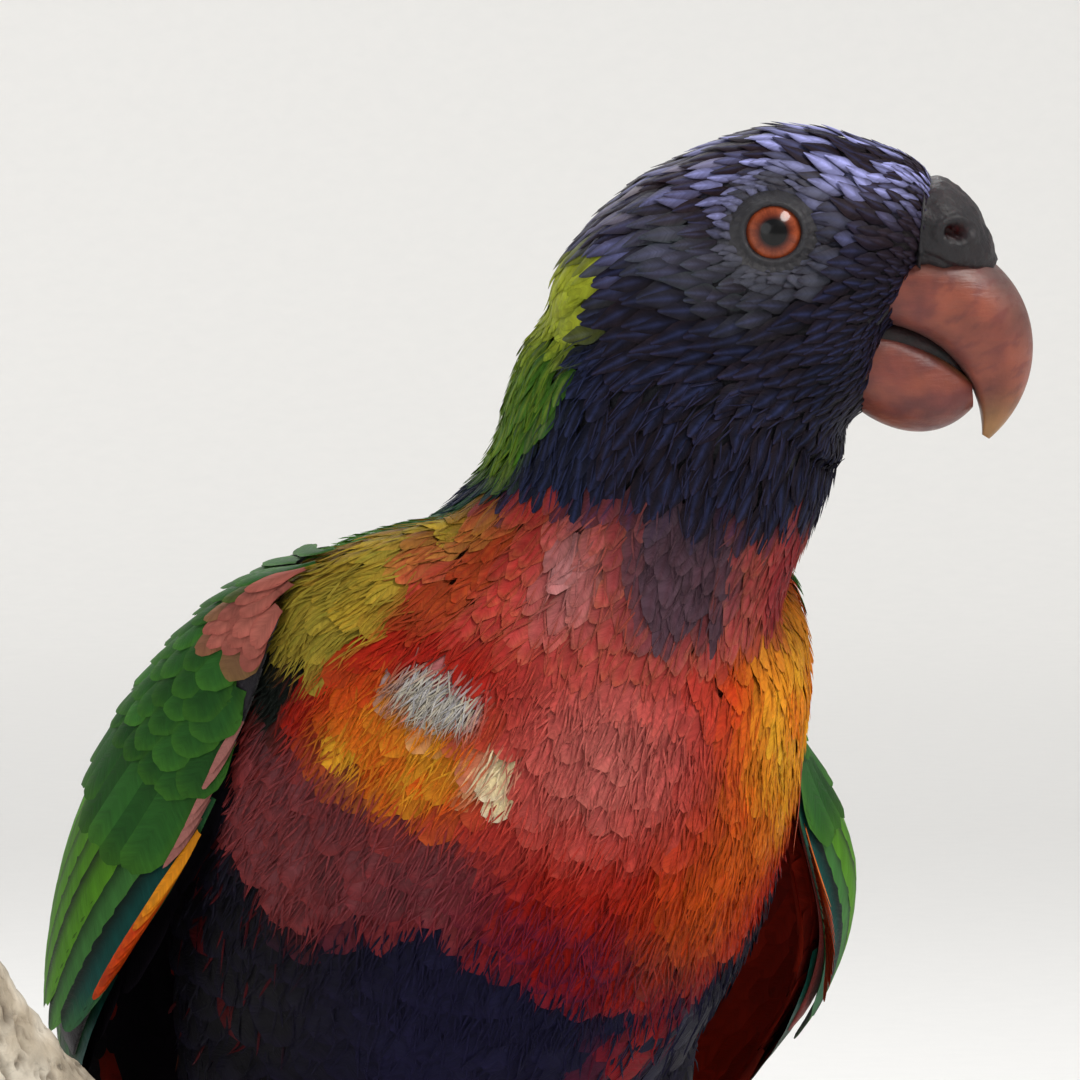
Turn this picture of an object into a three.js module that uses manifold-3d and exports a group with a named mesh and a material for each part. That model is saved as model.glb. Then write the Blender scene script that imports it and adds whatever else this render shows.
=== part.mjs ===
// A rainbow lorikeet at life size, perched on a short cut length of branch on a plain display stand.
// Millimetres, +Z up, the bird facing -Y with its head turned to its left (+X).
// The origin is the centre of the stand base's underside.
import * as THREE from "three";
import { mergeVertices } from "three/addons/utils/BufferGeometryUtils.js";
import Module from "manifold-3d";

const wasm = await Module();
wasm.setup();

// Driving dimensions, in millimetres and degrees.
const PERCH_HEIGHT = 115; // the branch's axis above the floor, under the feet
const BODY_PITCH = 52; // how steeply the trunk and tail stand
const HEAD_YAW = 68; // how far the head is turned to the bird's left
const SHOULDER = new THREE.Vector3(0, -20, 80); // top of the trunk's straight axis, above the perch
const EYE_MIDDLE = new THREE.Vector3(17.7, -32.5, 112.3); // halfway between the eyes, above the perch
const TAIL_TIP = 214; // along the trunk's axis from the shoulder
const TAIL_PAIRS = 5;
const WING_TIP = 150;
const EYE_RADIUS = 3.7;
const BRANCH_RADIUS = 10.5;
const BRANCH_BEND = 0.0119; // how fast the branch's one end curves up
const BRANCH_BEND_START = 8;
const FOOT_SPREAD = 13.5; // each foot's distance from the middle of the perch
const BASE = { radius: 66, height: 14, edge: 2.5 };
const ROD_RADIUS = 3;
const GAP = 0.35; // between neighbouring pieces
const CUT = 0.35; // thickness of the cuts that part the flesh

// Finishes.
const finish = (color, roughness, metalness = 0) =>
  new THREE.MeshStandardMaterial({ color, roughness, metalness });
const FINISH = {
  headFeather: finish("#2a2a66", 0.6),
  neckFeather: finish("#26284f", 0.65),
  breastFeather: finish("#c8301a", 0.65),
  wingFeather: finish("#2f7a2c", 0.55),
  primaryFeather: finish("#1c4a26", 0.55),
  tailFeather: finish("#3f7a2a", 0.55),
  legFeather: finish("#3b6a35", 0.65),
  bill: finish("#d8542a", 0.35),
  cere: finish("#4a4648", 0.6),
  eye: finish("#d8481c", 0.08),
  foot: finish("#6b6a6a", 0.7),
  claw: finish("#2c2a2a", 0.4),
  bark: finish("#cfc3ae", 0.9),
  base: finish("#3a322c", 0.6),
  rod: finish("#b9bcc0", 0.3, 1),
};

// ---------- frames ----------

const radians = THREE.MathUtils.degToRad;
// Evenly spaced values, both ends included.
const steps = (from, to, count) =>
  Array.from({ length: count + 1 }, (_, i) => from + ((to - from) * i) / count);
const vec = (x, y, z) => new THREE.Vector3(x, y, z);

// A frame's axes are side (to the animal's left), up and along.
function frame(origin, side, up) {
  return new THREE.Matrix4()
    .makeBasis(side, up, side.clone().cross(up))
    .setPosition(origin);
}

// The trunk's frame: x to the bird's left, y to its back, z towards its head.
const TRUNK_UP = vec(0, Math.sin(radians(BODY_PITCH)), Math.cos(radians(BODY_PITCH)));
const TRUNK_FRAME = frame(SHOULDER.clone().setZ(SHOULDER.z + PERCH_HEIGHT), vec(1, 0, 0), TRUNK_UP);
// A place in the trunk's frame, down its axis from the shoulder.
const onTrunk = (across, back, down) => vec(across, back, -down).applyMatrix4(TRUNK_FRAME);

// The head's frame: x to its own left, y up and z ahead, towards the bill.
const HEAD_LEFT = vec(Math.cos(radians(HEAD_YAW)), Math.sin(radians(HEAD_YAW)), 0);
const HEAD_FRAME = frame(
  EYE_MIDDLE.clone().setZ(EYE_MIDDLE.z + PERCH_HEIGHT),
  HEAD_LEFT,
  vec(0, 0, 1),
);
// A place in the head's frame, ahead of the eyes and above them.
const onHead = (across, ahead, above) => vec(across, above, ahead).applyMatrix4(HEAD_FRAME);

// ---------- solids ----------

function solid(geometry) {
  const bare = geometry.clone();
  for (const name of ["normal", "uv"]) bare.deleteAttribute(name);
  const merged = mergeVertices(bare, 1e-4);
  const triVerts = new Uint32Array(merged.index.array);
  const vertProperties = merged.attributes.position.array;
  const made = new wasm.Manifold(new wasm.Mesh({ numProp: 3, vertProperties, triVerts }));
  if (made.volume() > 0) return made;
  for (let i = 0; i < triVerts.length; i += 3)
    [triVerts[i + 1], triVerts[i + 2]] = [triVerts[i + 2], triVerts[i + 1]];
  return new wasm.Manifold(new wasm.Mesh({ numProp: 3, vertProperties, triVerts }));
}

const join = (solids) => solids.reduce((whole, next) => whole.add(next));

// A piece less what it must clear, without any sliver that the cut leaves apart.
function clearOf(piece, other) {
  const parts = piece.subtract(other).decompose();
  return parts.reduce((best, next) => (next.volume() > best.volume() ? next : best));
}

// A closed skin over a row of rings that have the same number of points. A ring that goes out along one
// face of a thin wall and back along the other, from the ring point turnFrom on, has its quads split
// along their other diagonal on the way back, which keeps the wall's two faces parallel.
function loft(rings, turnFrom = Infinity) {
  const count = rings[0].length;
  const points = rings.flat();
  const faces = [];
  for (let r = 0; r + 1 < rings.length; r++)
    for (let i = 0; i < count; i++) {
      const next = (i + 1) % count;
      const [a, b] = [r * count + i, r * count + next];
      const [c, d] = [b + count, a + count];
      faces.push(...(i < turnFrom ? [a, b, c, a, c, d] : [a, b, d, b, c, d]));
    }
  const wallEnd = (first, facesOut) => {
    for (let i = 0; i + 1 < turnFrom; i++) {
      const [a, b, c, d] = [i, i + 1, count - 2 - i, count - 1 - i].map((at) => first + at);
      faces.push(...(facesOut ? [a, b, c, a, c, d] : [c, b, a, d, c, a]));
    }
  };
  const fan = (first, facesOut) => {
    const ring = points.slice(first, first + count);
    const middle = ring.reduce((sum, p) => sum.add(p), vec(0, 0, 0)).divideScalar(count);
    points.push(middle);
    for (let i = 0; i < count; i++) {
      const pair = [first + i, first + ((i + 1) % count)];
      faces.push(points.length - 1, ...(facesOut ? pair : pair.reverse()));
    }
  };
  const cap = turnFrom < count ? wallEnd : fan; // the middle of a curved wall's end lies outside it
  cap(0, false);
  cap((rings.length - 1) * count, true);
  const geometry = new THREE.BufferGeometry().setFromPoints(points);
  geometry.setIndex(faces);
  return solid(geometry);
}

// An oval ring in a frame's side and up plane, with its own height above and below the middle;
// a square share under 1 fills out the corners of its lower half.
function ovalRing(at, { wide, up, down, square = 1 }, count = 24) {
  const fill = (value) => Math.sign(value) * Math.abs(value) ** square;
  return Array.from({ length: count }, (_, i) => {
    const angle = (2 * Math.PI * i) / count;
    const [out, high] = [Math.cos(angle), Math.sin(angle)];
    const corner = high > 0 ? [out, up * high] : [fill(out), down * fill(high)];
    return vec(wide * corner[0], corner[1], 0).applyMatrix4(at);
  });
}

// A tube of oval rings along a curve; size(share of the curve) gives each ring.
function tube(curve, rows, side, size, count) {
  return loft(
    steps(0, 1, rows).map((share) => {
      const along = curve.getTangentAt(share);
      const up = along.clone().cross(side).normalize();
      const across = up.clone().cross(along).normalize();
      return ovalRing(frame(curve.getPointAt(share), across, up), size(share), count);
    }),
  );
}

// A smooth value between named stations [place, value, value, ...], given in rising places.
function between(stations, place) {
  const last = stations.length - 1;
  let i = 0;
  while (i < last - 1 && place > stations[i + 1][0]) i++;
  const [before, from, to, after] = [i - 1, i, i + 1, i + 2].map(
    (k) => stations[Math.min(last, Math.max(0, k))],
  );
  const span = to[0] - from[0];
  const t = Math.min(1, Math.max(0, (place - from[0]) / span));
  return from.slice(1).map((value, k) => {
    const end = to[k + 1];
    const leave = from === before ? end - value : ((end - before[k + 1]) * span) / (to[0] - before[0]);
    const arrive = to === after ? end - value : ((after[k + 1] - value) * span) / (after[0] - from[0]);
    return (
      (2 * t ** 3 - 3 * t ** 2 + 1) * value +
      (t ** 3 - 2 * t ** 2 + t) * leave +
      (-2 * t ** 3 + 3 * t ** 2) * end +
      (t ** 3 - t ** 2) * arrive
    );
  });
}

// ---------- flesh: trunk, neck and head in one ----------

// Down the trunk's axis from the shoulder: half width, height to the back, depth to the belly.
// Past the rump the same sizes go on round the tail, for the wing tips to lie on.
const BODY = [
  [-4, 15, 4.5, 15],
  [0, 23.6, 8.5, 20],
  [4, 27.2, 12.5, 23],
  [9, 28.6, 17.5, 26],
  [15, 29.4, 21, 28.4],
  [27, 30.6, 23.5, 30],
  [42, 30.2, 22.5, 28],
  [57, 27, 20, 21.5],
  [72, 21.6, 16.5, 14.5],
  [85, 16.5, 12, 9.6],
  [96, 12.5, 8, 7],
  [108, 10, 5, 5],
  [150, 8, 4, 4],
];
const RUMP_END = 106;

function bodySize(down, grow = 0) {
  const [wide, up, low] = between(BODY, down);
  return { wide: wide + grow, up: up + grow, down: low + grow };
}

// The neck leaves the trunk's axis and bends to the bird's left, up into the skull.
const NECK = new THREE.CatmullRomCurve3(
  [
    vec(2.5, -17, 70 + PERCH_HEIGHT),
    vec(5.6, -19.6, 77.5 + PERCH_HEIGHT),
    vec(8, -22.2, 84.7 + PERCH_HEIGHT),
    vec(9.4, -24.2, 90 + PERCH_HEIGHT),
    vec(10.8, -26.6, 97 + PERCH_HEIGHT),
    vec(12.6, -29.4, 105 + PERCH_HEIGHT),
  ],
  false,
  "centripetal",
);
// Along the neck: half width, height to the nape, depth to the throat.
const NECK_SIZES = [
  [0, 22, 19, 18.5],
  [0.2, 18.8, 17.2, 17.4],
  [0.41, 15.8, 16.3, 17],
  [0.57, 16.4, 16.9, 16.8],
  [0.78, 16.4, 16.6, 16],
  [1, 12.5, 12.5, 12.5],
];

// Ahead of the eyes: top and bottom above the eyes' level, half width.
const HEAD = [
  [-21.8, -5.2, -12, 3.5],
  [-20.2, -2.2, -15.4, 7.6],
  [-17, 1.7, -18.6, 10.4],
  [-12.7, 5.3, -20.6, 12.3],
  [-6.8, 8.2, -21.6, 13],
  [-1, 10.1, -21.6, 12.8],
  [4.6, 9.9, -20.8, 11.6],
  [8, 9, -18, 10.4],
  [10, 8.2, -12.2, 9.6],
  [12.4, 7.1, -7.4, 8.6],
  [15.2, 5.3, -5, 7.2],
  [17.8, 3, -3.4, 5],
];

function headSolid(grow) {
  return loft(
    HEAD.map(([ahead, top, bottom, wide], i) => {
      const ends = { 0: -grow, [HEAD.length - 1]: grow };
      const middle = (top + bottom) / 2;
      const half = (top - bottom) / 2 + grow;
      const at = HEAD_FRAME.clone().setPosition(onHead(0, ahead + (ends[i] ?? 0), middle));
      return ovalRing(at, { wide: wide + grow, up: half, down: half }, 22);
    }),
  );
}

function trunkSolid(grow) {
  const downs = [-4 - grow, -1, 3, 8, 14, ...steps(22, 94, 8), RUMP_END + grow];
  const place = (down) => frame(onTrunk(0, 0, down), vec(1, 0, 0), TRUNK_UP);
  return loft(downs.map((down) => ovalRing(place(down), bodySize(down, grow), 24)));
}

function neckSolid(grow) {
  const size = (share) => {
    const [wide, up, down] = between(NECK_SIZES, share);
    return { wide: wide + grow, up: up + grow, down: down + grow };
  };
  return tube(NECK, 8, vec(-1, 0, 0), size, 22);
}

const flesh = (grow = 0) => join([trunkSolid(grow), neckSolid(grow), headSolid(grow)]);

// A thin slab across the flesh, square to the direction out.
function slab(middle, out, thick = CUT) {
  const across = Math.abs(out.z) > 0.9 ? vec(1, 0, 0) : vec(0, 0, 1);
  const side = across.cross(out).normalize();
  const plate = new THREE.BoxGeometry(120, 120, thick);
  return solid(plate.applyMatrix4(frame(middle, side, out.clone().cross(side))));
}

// ---------- bill, cere and eyes, in the head's frame ----------

// A blade of oval rings from a ridge curve to an edge curve, in the head's middle plane.
function blade(ridge, edge, halfWidths, rows, grow = 0) {
  return loft(
    steps(0, 1, rows).map((share) => {
      const [top, low] = [ridge.getPoint(share), edge.getPoint(share)].map((p) => onHead(0, p.x, p.y));
      const up = top.clone().sub(low);
      const half = up.length() / 2 + grow;
      const middle = top.add(low).divideScalar(2);
      const [wide] = between(halfWidths, share);
      const size = { wide: wide + grow, up: half, down: half, square: 0.5 };
      return ovalRing(frame(middle, HEAD_LEFT, up.normalize()), size, 14);
    }),
  );
}

const flat = (ahead, above) => new THREE.Vector2(ahead, above);

// The culmen is a tightening arc from under the cere down to the hook.
const CULMEN = new THREE.SplineCurve(
  steps(0, 1, 8).map((t) => {
    const angle = radians(THREE.MathUtils.lerp(92, -58, t));
    const radius = 9.7 + 1.4 * t ** 3;
    return flat(14.5 + radius * Math.cos(angle), -10.8 + radius * Math.sin(angle));
  }),
);
const TOMIUM = new THREE.CubicBezierCurve(
  flat(9.2, -9.2),
  flat(14.4, -9.6),
  flat(19.8, -13.4),
  flat(19.7, -19.8),
);
const UPPER_WIDTHS = [
  [0, 6.6],
  [0.3, 6.2],
  [0.55, 4.9],
  [0.78, 2.9],
  [0.93, 1.4],
  [1, 0.5],
];
const upperBill = (grow = 0) => blade(CULMEN, TOMIUM, UPPER_WIDTHS, 10, grow);

const LOWER_EDGE = new THREE.QuadraticBezierCurve(flat(8.4, -9.6), flat(13.8, -10.0), flat(18.6, -14.7));
const LOWER_KEEL = new THREE.CubicBezierCurve(
  flat(7.4, -17),
  flat(10.4, -19.6),
  flat(15.4, -21),
  flat(18.8, -17.2),
);
const LOWER_WIDTHS = [
  [0, 5.4],
  [0.5, 5.0],
  [0.85, 3.7],
  [1, 2.6],
];
const lowerBill = (grow = 0) => blade(LOWER_KEEL, LOWER_EDGE, LOWER_WIDTHS, 6, grow);

// The cere is a soft saddle over the root of the bill.
const CERE_TOP = new THREE.QuadraticBezierCurve(flat(14.2, 5.9), flat(19.1, 4.4), flat(20.2, -1.0));
const CERE_LOW = new THREE.QuadraticBezierCurve(flat(13, -4.6), flat(15.4, -4.6), flat(18.2, -3.9));
const CERE_WIDTHS = [
  [0, 7.9],
  [0.5, 6.9],
  [1, 4.4],
];
const cere = (grow = 0) => blade(CERE_TOP, CERE_LOW, CERE_WIDTHS, 5, grow);

function eyeball(side, radius) {
  const ball = new THREE.SphereGeometry(radius, 12, 8);
  return solid(ball.translate(...onHead(side * 8.9, -0.5, -0.5).toArray()));
}

// ---------- wings ----------

// Each folded wing is a shell round the body. Down the axis from the shoulder: the angles of its
// back edge and belly edge round from the spine, and how far its outer face stands off the body
// at the back edge, at the belly edge, and in the bulge between them.
const WING = [
  [1, 66, 88, 0.6, 0.6, 0.4],
  [6, 46, 92, 1.0, 0.8, 2.1],
  [14, 30, 97, 1.6, 1.0, 3.8],
  [30, 18, 100, 2.6, 3.2, 5.3],
  [46, 13, 101, 3.4, 9.6, 3.0],
  [60, 11, 98, 3.6, 13.0, 1.6],
  [80, 10, 92, 3.6, 13.6, 0.8],
  [100, 11, 86, 3.6, 11.4, 0.4],
  [120, 18, 78, 3.2, 7.4, 0.2],
  [136, 28, 70, 2.6, 4.0, 0],
  [WING_TIP, 44, 60, 1.8, 1.8, 0],
];
const HELD_OFF = { left: 10.8, right: 0 }; // how much further one wing arches away from the flank
const EDGE_SHARE = 0.1; // how much of that reaches its belly edge
const TUCKED = { left: 0.85, right: 0 }; // the share of a wing's bulge that lies flat at the bend
const TUCK_TURN = 10; // degrees that a tucked wing's belly edge draws back
const WING_COVERTS_END = 60;
const SECONDARY_TIP = 108;
const SECONDARY_SHARE = 0.42; // the part of the wing's breadth that the secondaries take

// A point on a wing: share 0 is its back edge and 1 its belly edge, depth is measured inwards.
function wingPoint(side, down, share, depth) {
  const [backEdge, bellyEdge, back, belly, bulge] = between(WING, down);
  const name = side > 0 ? "left" : "right";
  const tucked = TUCKED[name] * (1 - THREE.MathUtils.smoothstep(down, 16, 44));
  const angle = radians(THREE.MathUtils.lerp(backEdge, bellyEdge - TUCK_TURN * tucked, share));
  const arch = Math.sin(Math.PI * share ** 1.8);
  const held = HELD_OFF[name] * Math.max(0, Math.sin((Math.PI * down) / WING_TIP)) ** 2.2;
  const off = held * THREE.MathUtils.lerp(arch, share, EDGE_SHARE);
  const stand = back + (belly - back) * share + (bulge * arch + off) * (1 - tucked) - depth;
  const body = bodySize(down, stand);
  const high = Math.cos(angle) * (angle < Math.PI / 2 ? body.up : body.down);
  return onTrunk(side * body.wide * Math.sin(angle), high, down);
}

// A closed strip of wing between two shares and two stations, thick in its middle and thin at its edges.
function wingStrip(side, { stations, low, high, depth = 0, thick, across }) {
  const round = (down) => {
    const share = (t) => THREE.MathUtils.lerp(low(down), high(down), t);
    const inward = (t) => depth + 0.8 + thick(down) * Math.max(0, Math.sin(Math.PI * t)) ** 0.6;
    const outer = steps(0, 1, across).map((t) => wingPoint(side, down, share(t), depth));
    const inner = steps(1, 0, across).map((t) => wingPoint(side, down, share(t), inward(t)));
    return [...outer, ...inner];
  };
  return loft(stations.map(round), across + 1);
}

const secondaryEdge = (down) => SECONDARY_SHARE - 0.018 * Math.max(0, down - 92);

// The folded primaries' tips step back from the leading one, which makes the wing tip's saw edge.
const PRIMARY_TIPS = steps(WING_TIP, WING_TIP - 40, 4);

function primaryEdge(down) {
  const edges = PRIMARY_TIPS.map((tip, i) =>
    tip < down ? 1 : 0.94 - 0.13 * i - 0.34 * Math.min(1, (tip - down) / 26) ** 0.7,
  );
  const clear = down < SECONDARY_TIP + 2 ? secondaryEdge(down) + 0.03 : 0;
  return Math.max(clear, Math.min(...edges));
}

function primaries(side) {
  const tips = PRIMARY_TIPS.toReversed();
  return wingStrip(side, {
    stations: [WING_COVERTS_END + GAP, 74, 88, 100, ...tips.flatMap((tip) => [tip - 5, tip])],
    low: primaryEdge,
    high: () => 1,
    depth: 0.3,
    thick: () => 0.9,
    across: 4,
  });
}

function wing(name, side) {
  const coverts = wingStrip(side, {
    stations: steps(WING[0][0], WING_COVERTS_END, 8),
    low: () => 0,
    high: () => 1,
    thick: (down) => 3.4 - down * 0.02,
    across: 8,
  });
  const secondaries = wingStrip(side, {
    stations: steps(WING_COVERTS_END + GAP, SECONDARY_TIP, 5),
    low: () => 0,
    high: secondaryEdge,
    thick: (down) => 1.6 - (down - WING_COVERTS_END) * 0.012,
    across: 4,
  });
  return [
    [`wing_${name}_coverts`, coverts, FINISH.wingFeather],
    [`wing_${name}_secondaries`, secondaries, FINISH.wingFeather],
    [`wing_${name}_primaries`, primaries(side), FINISH.primaryFeather],
  ];
}

// ---------- tail ----------

// Graduated feathers in pairs: the middle pair is longest and lies on top.
function tailSolid() {
  const start = RUMP_END + GAP;
  const feathers = [1, -1].flatMap((side) =>
    steps(0, TAIL_PAIRS - 1, TAIL_PAIRS - 1).map((rank) => {
      const length = TAIL_TIP - start - 17 * rank;
      const rings = steps(0, 1, 4).map((share) => {
        const width = 5.4 * Math.min(1, 0.75 + share) * Math.sqrt(Math.max(0.015, 1 - share ** 3.2));
        const across = side * (1.5 - 1.1 * share + 1.1 * rank + 0.011 * rank * length * share);
        const middle = onTrunk(across, -0.55 * rank - 0.9 * share, start + length * share);
        return ovalRing(frame(middle, vec(1, 0, 0), TRUNK_UP), { wide: width, up: 0.9, down: 0.9 }, 6);
      });
      return loft(rings);
    }),
  );
  return join(feathers);
}

// ---------- legs and feet ----------

// The branch's axis: level under the feet and rising at the bird's right, with a slight bow.
function branchCurvePoint(x) {
  const rise = BRANCH_BEND * Math.max(0, -x - BRANCH_BEND_START) ** 2 - 0.04 * x;
  return vec(x, -0.0022 * x ** 2, PERCH_HEIGHT + rise);
}

// The ankle is drawn up behind the foot, close under the belly.
const ankle = (side) =>
  branchCurvePoint(side * FOOT_SPREAD).add(vec(side * 0.8, 6.6, BRANCH_RADIUS + 7));

// The feathered thigh, down to the ankle.
function legFeathers(side) {
  const end = ankle(side);
  const thigh = new THREE.CatmullRomCurve3([
    onTrunk(side * 14, -4, 46),
    onTrunk(side * 16, -11, 57),
    end.clone().add(vec(0, 0.6, 3.6)),
    end,
  ]);
  const sizes = [
    [0, 7, 7, 7],
    [0.5, 9.8, 9.5, 9.5],
    [0.8, 6.6, 6, 6],
    [1, 3.6, 3.4, 3.4],
  ];
  const size = (share) => {
    const [wide, up, down] = between(sizes, share);
    return { wide, up, down };
  };
  return tube(thigh, 8, vec(1, 0, 0), size, 14);
}

// Toes round the perch: which way each turns, its splay along the branch and its length.
const TOES = [
  { way: -1, splay: 4.6, reach: 105 },
  { way: -1, splay: -3.4, reach: 118 },
  { way: 1, splay: 5.4, reach: 112 },
  { way: 1, splay: -4.2, reach: 88 },
];
const TOE_RADIUS = 2.2;
const TOE_PADS = 3;

// A toe's centreline: over the top of the branch and down its front or back.
function toeCurve(side, { way, splay, reach }, from, to, lift) {
  const x = side * FOOT_SPREAD;
  const points = steps(from, to, 8).map((share) => {
    const angle = radians(share * reach);
    const at = branchCurvePoint(x + side * splay * Math.min(1, share * 1.6));
    const out = BRANCH_RADIUS + 0.5 + lift(share);
    return at.add(vec(0, way * Math.sin(angle) * out, Math.cos(angle) * out));
  });
  return new THREE.CatmullRomCurve3(points);
}

// A toe tapers to its claw, with a slight swell at each of its pads.
function toe(side, kind) {
  const curve = toeCurve(side, kind, 0, 1, () => TOE_RADIUS);
  const size = (share) => {
    const pad = 1 + 0.09 * Math.cos(2 * Math.PI * TOE_PADS * share);
    const round = TOE_RADIUS * (1 - 0.28 * share) * pad * (share > 0.98 ? 0.7 : 1);
    return { wide: round, up: round * 0.92, down: round * 0.92 };
  };
  return tube(curve, 6, vec(1, 0, 0), size, 6);
}

function claw(side, kind) {
  const bend = (share) => 1.9 + 2.6 * Math.sin((share - 1.02) * 5.2);
  const curve = toeCurve(side, kind, 1.045, 1.36, bend);
  const size = (share) => {
    const round = 1.35 * (1 - 0.8 * share);
    return { wide: round * 0.8, up: round, down: round };
  };
  return tube(curve, 4, vec(1, 0, 0), size, 6);
}

// The bare shank, from inside the ankle's feathers to the pad on top of the perch.
function shank(side, grow = 0) {
  const foothold = branchCurvePoint(side * FOOT_SPREAD).add(vec(0, 0.5, BRANCH_RADIUS + 3));
  const start = ankle(side).lerp(foothold, -0.05 - grow / 6);
  const middle = start.clone().lerp(foothold, 0.5).add(vec(0, -0.4, 0));
  const size = (share) => {
    const round = 2.5 + 0.35 * share + grow;
    return { wide: round, up: round, down: round };
  };
  return tube(new THREE.CatmullRomCurve3([start, middle, foothold]), 4, vec(1, 0, 0), size, 10);
}

// The shank with its four toes, which start in the pad on top of the perch.
function foot(side) {
  const top = branchCurvePoint(side * FOOT_SPREAD);
  const pad = new THREE.SphereGeometry(3.6, 10, 8).scale(1.25, 1.2, 0.82);
  pad.translate(...top.clone().add(vec(0, 0, BRANCH_RADIUS + 3.4)).toArray());
  const toes = TOES.map((kind) => toe(side, kind));
  return join([shank(side), solid(pad), ...toes]);
}

// ---------- perch and stand ----------

const PERCH_ENDS = [-64, 46];

function perch(grow = 0) {
  const curve = new THREE.CatmullRomCurve3(
    steps(PERCH_ENDS[0] - grow, PERCH_ENDS[1] + grow, 12).map(branchCurvePoint),
  );
  const size = (share) => {
    const round = BRANCH_RADIUS + grow + 0.5 * Math.max(0, 0.35 - share);
    return { wide: round, up: round, down: round };
  };
  return tube(curve, 14, vec(0, 1, 0), size, 16);
}

function standBase() {
  const { radius, height, edge } = BASE;
  const rim = steps(0, 90, 2).map((turn) =>
    flat(
      radius - edge + edge * Math.cos(radians(turn)),
      height - edge + edge * Math.sin(radians(turn)),
    ),
  );
  const profile = [flat(0, 0), flat(radius, 0), ...rim, flat(0, height)];
  return solid(new THREE.LatheGeometry(profile, 44).rotateX(Math.PI / 2));
}

function standRod() {
  const top = PERCH_HEIGHT;
  const rod = new THREE.CylinderGeometry(ROD_RADIUS, ROD_RADIUS, top - BASE.height - GAP, 24);
  rod.rotateX(Math.PI / 2).translate(0, 0, (top + BASE.height + GAP) / 2);
  return solid(rod).subtract(perch(GAP));
}

// ---------- the model ----------

// Each group is placed by its own frame, and holds its pieces in that frame.
function group(name, place = new THREE.Matrix4()) {
  const made = new THREE.Group();
  made.name = name;
  made.applyMatrix4(place);
  made.updateMatrixWorld(true);
  return made;
}

const model = group("lorikeet_on_stand");
const body = group("body", TRUNK_FRAME);
const skull = group("skull", HEAD_FRAME);
const stand = group("stand");
model.add(body, skull, stand);

function add(holder, name, shape, material) {
  const { vertProperties, triVerts } = shape.getMesh();
  const geometry = new THREE.BufferGeometry();
  geometry.setAttribute("position", new THREE.BufferAttribute(vertProperties, 3));
  geometry.setIndex(new THREE.BufferAttribute(triVerts, 1));
  geometry.applyMatrix4(holder.matrixWorld.clone().invert());
  const mesh = new THREE.Mesh(geometry, material);
  mesh.name = name;
  holder.add(mesh);
}

// The flesh is cut back round the bill, the cere and the eyes, then parted across the neck.
const sockets = [
  upperBill(GAP),
  lowerBill(GAP),
  cere(GAP),
  eyeball(1, EYE_RADIUS + GAP),
  eyeball(-1, EYE_RADIUS + GAP),
];
const cuts = [
  slab(NECK.getPointAt(0.45), NECK.getTangentAt(0.45)),
  slab(onHead(0, -9, -15.5), onHead(0, 12, 32).sub(onHead(0, 0, 0)).normalize()),
];
const height = (piece) => piece.boundingBox().max[2];
const [trunk, neck, head] = [...sockets, ...cuts]
  .reduce((rest, cutter) => rest.subtract(cutter), flesh())
  .decompose()
  .filter((piece) => piece.volume() > 100)
  .sort((a, b) => height(a) - height(b));

add(body, "trunk", trunk, FINISH.breastFeather);
add(body, "neck", neck, FINISH.neckFeather);
add(body, "tail", tailSolid(), FINISH.tailFeather);
add(skull, "head", head, FINISH.headFeather);
add(skull, "bill_upper", upperBill().subtract(cere(GAP)), FINISH.bill);
add(skull, "bill_lower", lowerBill().subtract(upperBill(GAP)), FINISH.bill);
add(skull, "cere", cere(), FINISH.cere);

const grown = flesh(GAP);
const SIDES = { left: 1, right: -1 };
for (const [name, side] of Object.entries(SIDES)) {
  const leg = clearOf(legFeathers(side), grown.add(shank(side, GAP)));
  add(skull, `eye_${name}`, eyeball(side, EYE_RADIUS), FINISH.eye);
  for (const [node, shape, material] of wing(name, side)) add(body, node, clearOf(shape, grown), material);
  add(body, `leg_${name}`, leg, FINISH.legFeather);
  add(body, `foot_${name}`, foot(side), FINISH.foot);
  TOES.forEach((kind, i) => add(body, `claw_${name}_${i + 1}`, claw(side, kind), FINISH.claw));
}

add(stand, "perch_branch", perch(), FINISH.bark);
add(stand, "stand_base", standBase(), FINISH.base);
add(stand, "stand_rod", standRod(), FINISH.rod);

export default model;
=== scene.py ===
"""The looks of a rainbow lorikeet on a short cut perch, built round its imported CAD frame.

One skin takes the place of the solids of flesh. Every feather is a closed mesh of its own, laid over
that skin or over the folded wing along the lie of the plumage. Lengths are in millimetres until a
mesh is made, which turns them into metres.
"""

import math

import bpy
import numpy as np
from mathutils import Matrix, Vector, kdtree
from mathutils.bvhtree import BVHTree


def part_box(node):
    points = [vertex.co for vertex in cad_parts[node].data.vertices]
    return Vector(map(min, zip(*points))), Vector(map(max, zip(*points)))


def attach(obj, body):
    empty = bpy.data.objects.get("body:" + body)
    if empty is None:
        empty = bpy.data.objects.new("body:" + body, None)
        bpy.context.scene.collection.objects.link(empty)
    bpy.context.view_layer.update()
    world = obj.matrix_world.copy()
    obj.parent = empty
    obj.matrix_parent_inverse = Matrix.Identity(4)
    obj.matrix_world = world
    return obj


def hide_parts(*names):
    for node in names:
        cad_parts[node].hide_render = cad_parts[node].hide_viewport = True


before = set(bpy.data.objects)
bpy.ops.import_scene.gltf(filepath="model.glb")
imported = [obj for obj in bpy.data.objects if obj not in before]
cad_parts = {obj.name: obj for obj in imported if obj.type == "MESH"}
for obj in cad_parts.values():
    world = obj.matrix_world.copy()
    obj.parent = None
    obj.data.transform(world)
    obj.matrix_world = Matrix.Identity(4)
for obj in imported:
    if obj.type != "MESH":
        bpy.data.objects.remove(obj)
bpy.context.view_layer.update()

MM = 0.001
BODY = "root"
FLESH = ["head", "neck", "trunk", "leg_left", "leg_right"]
SIDES = {"left": 1, "right": -1}


# ---------- small maths ----------


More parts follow.
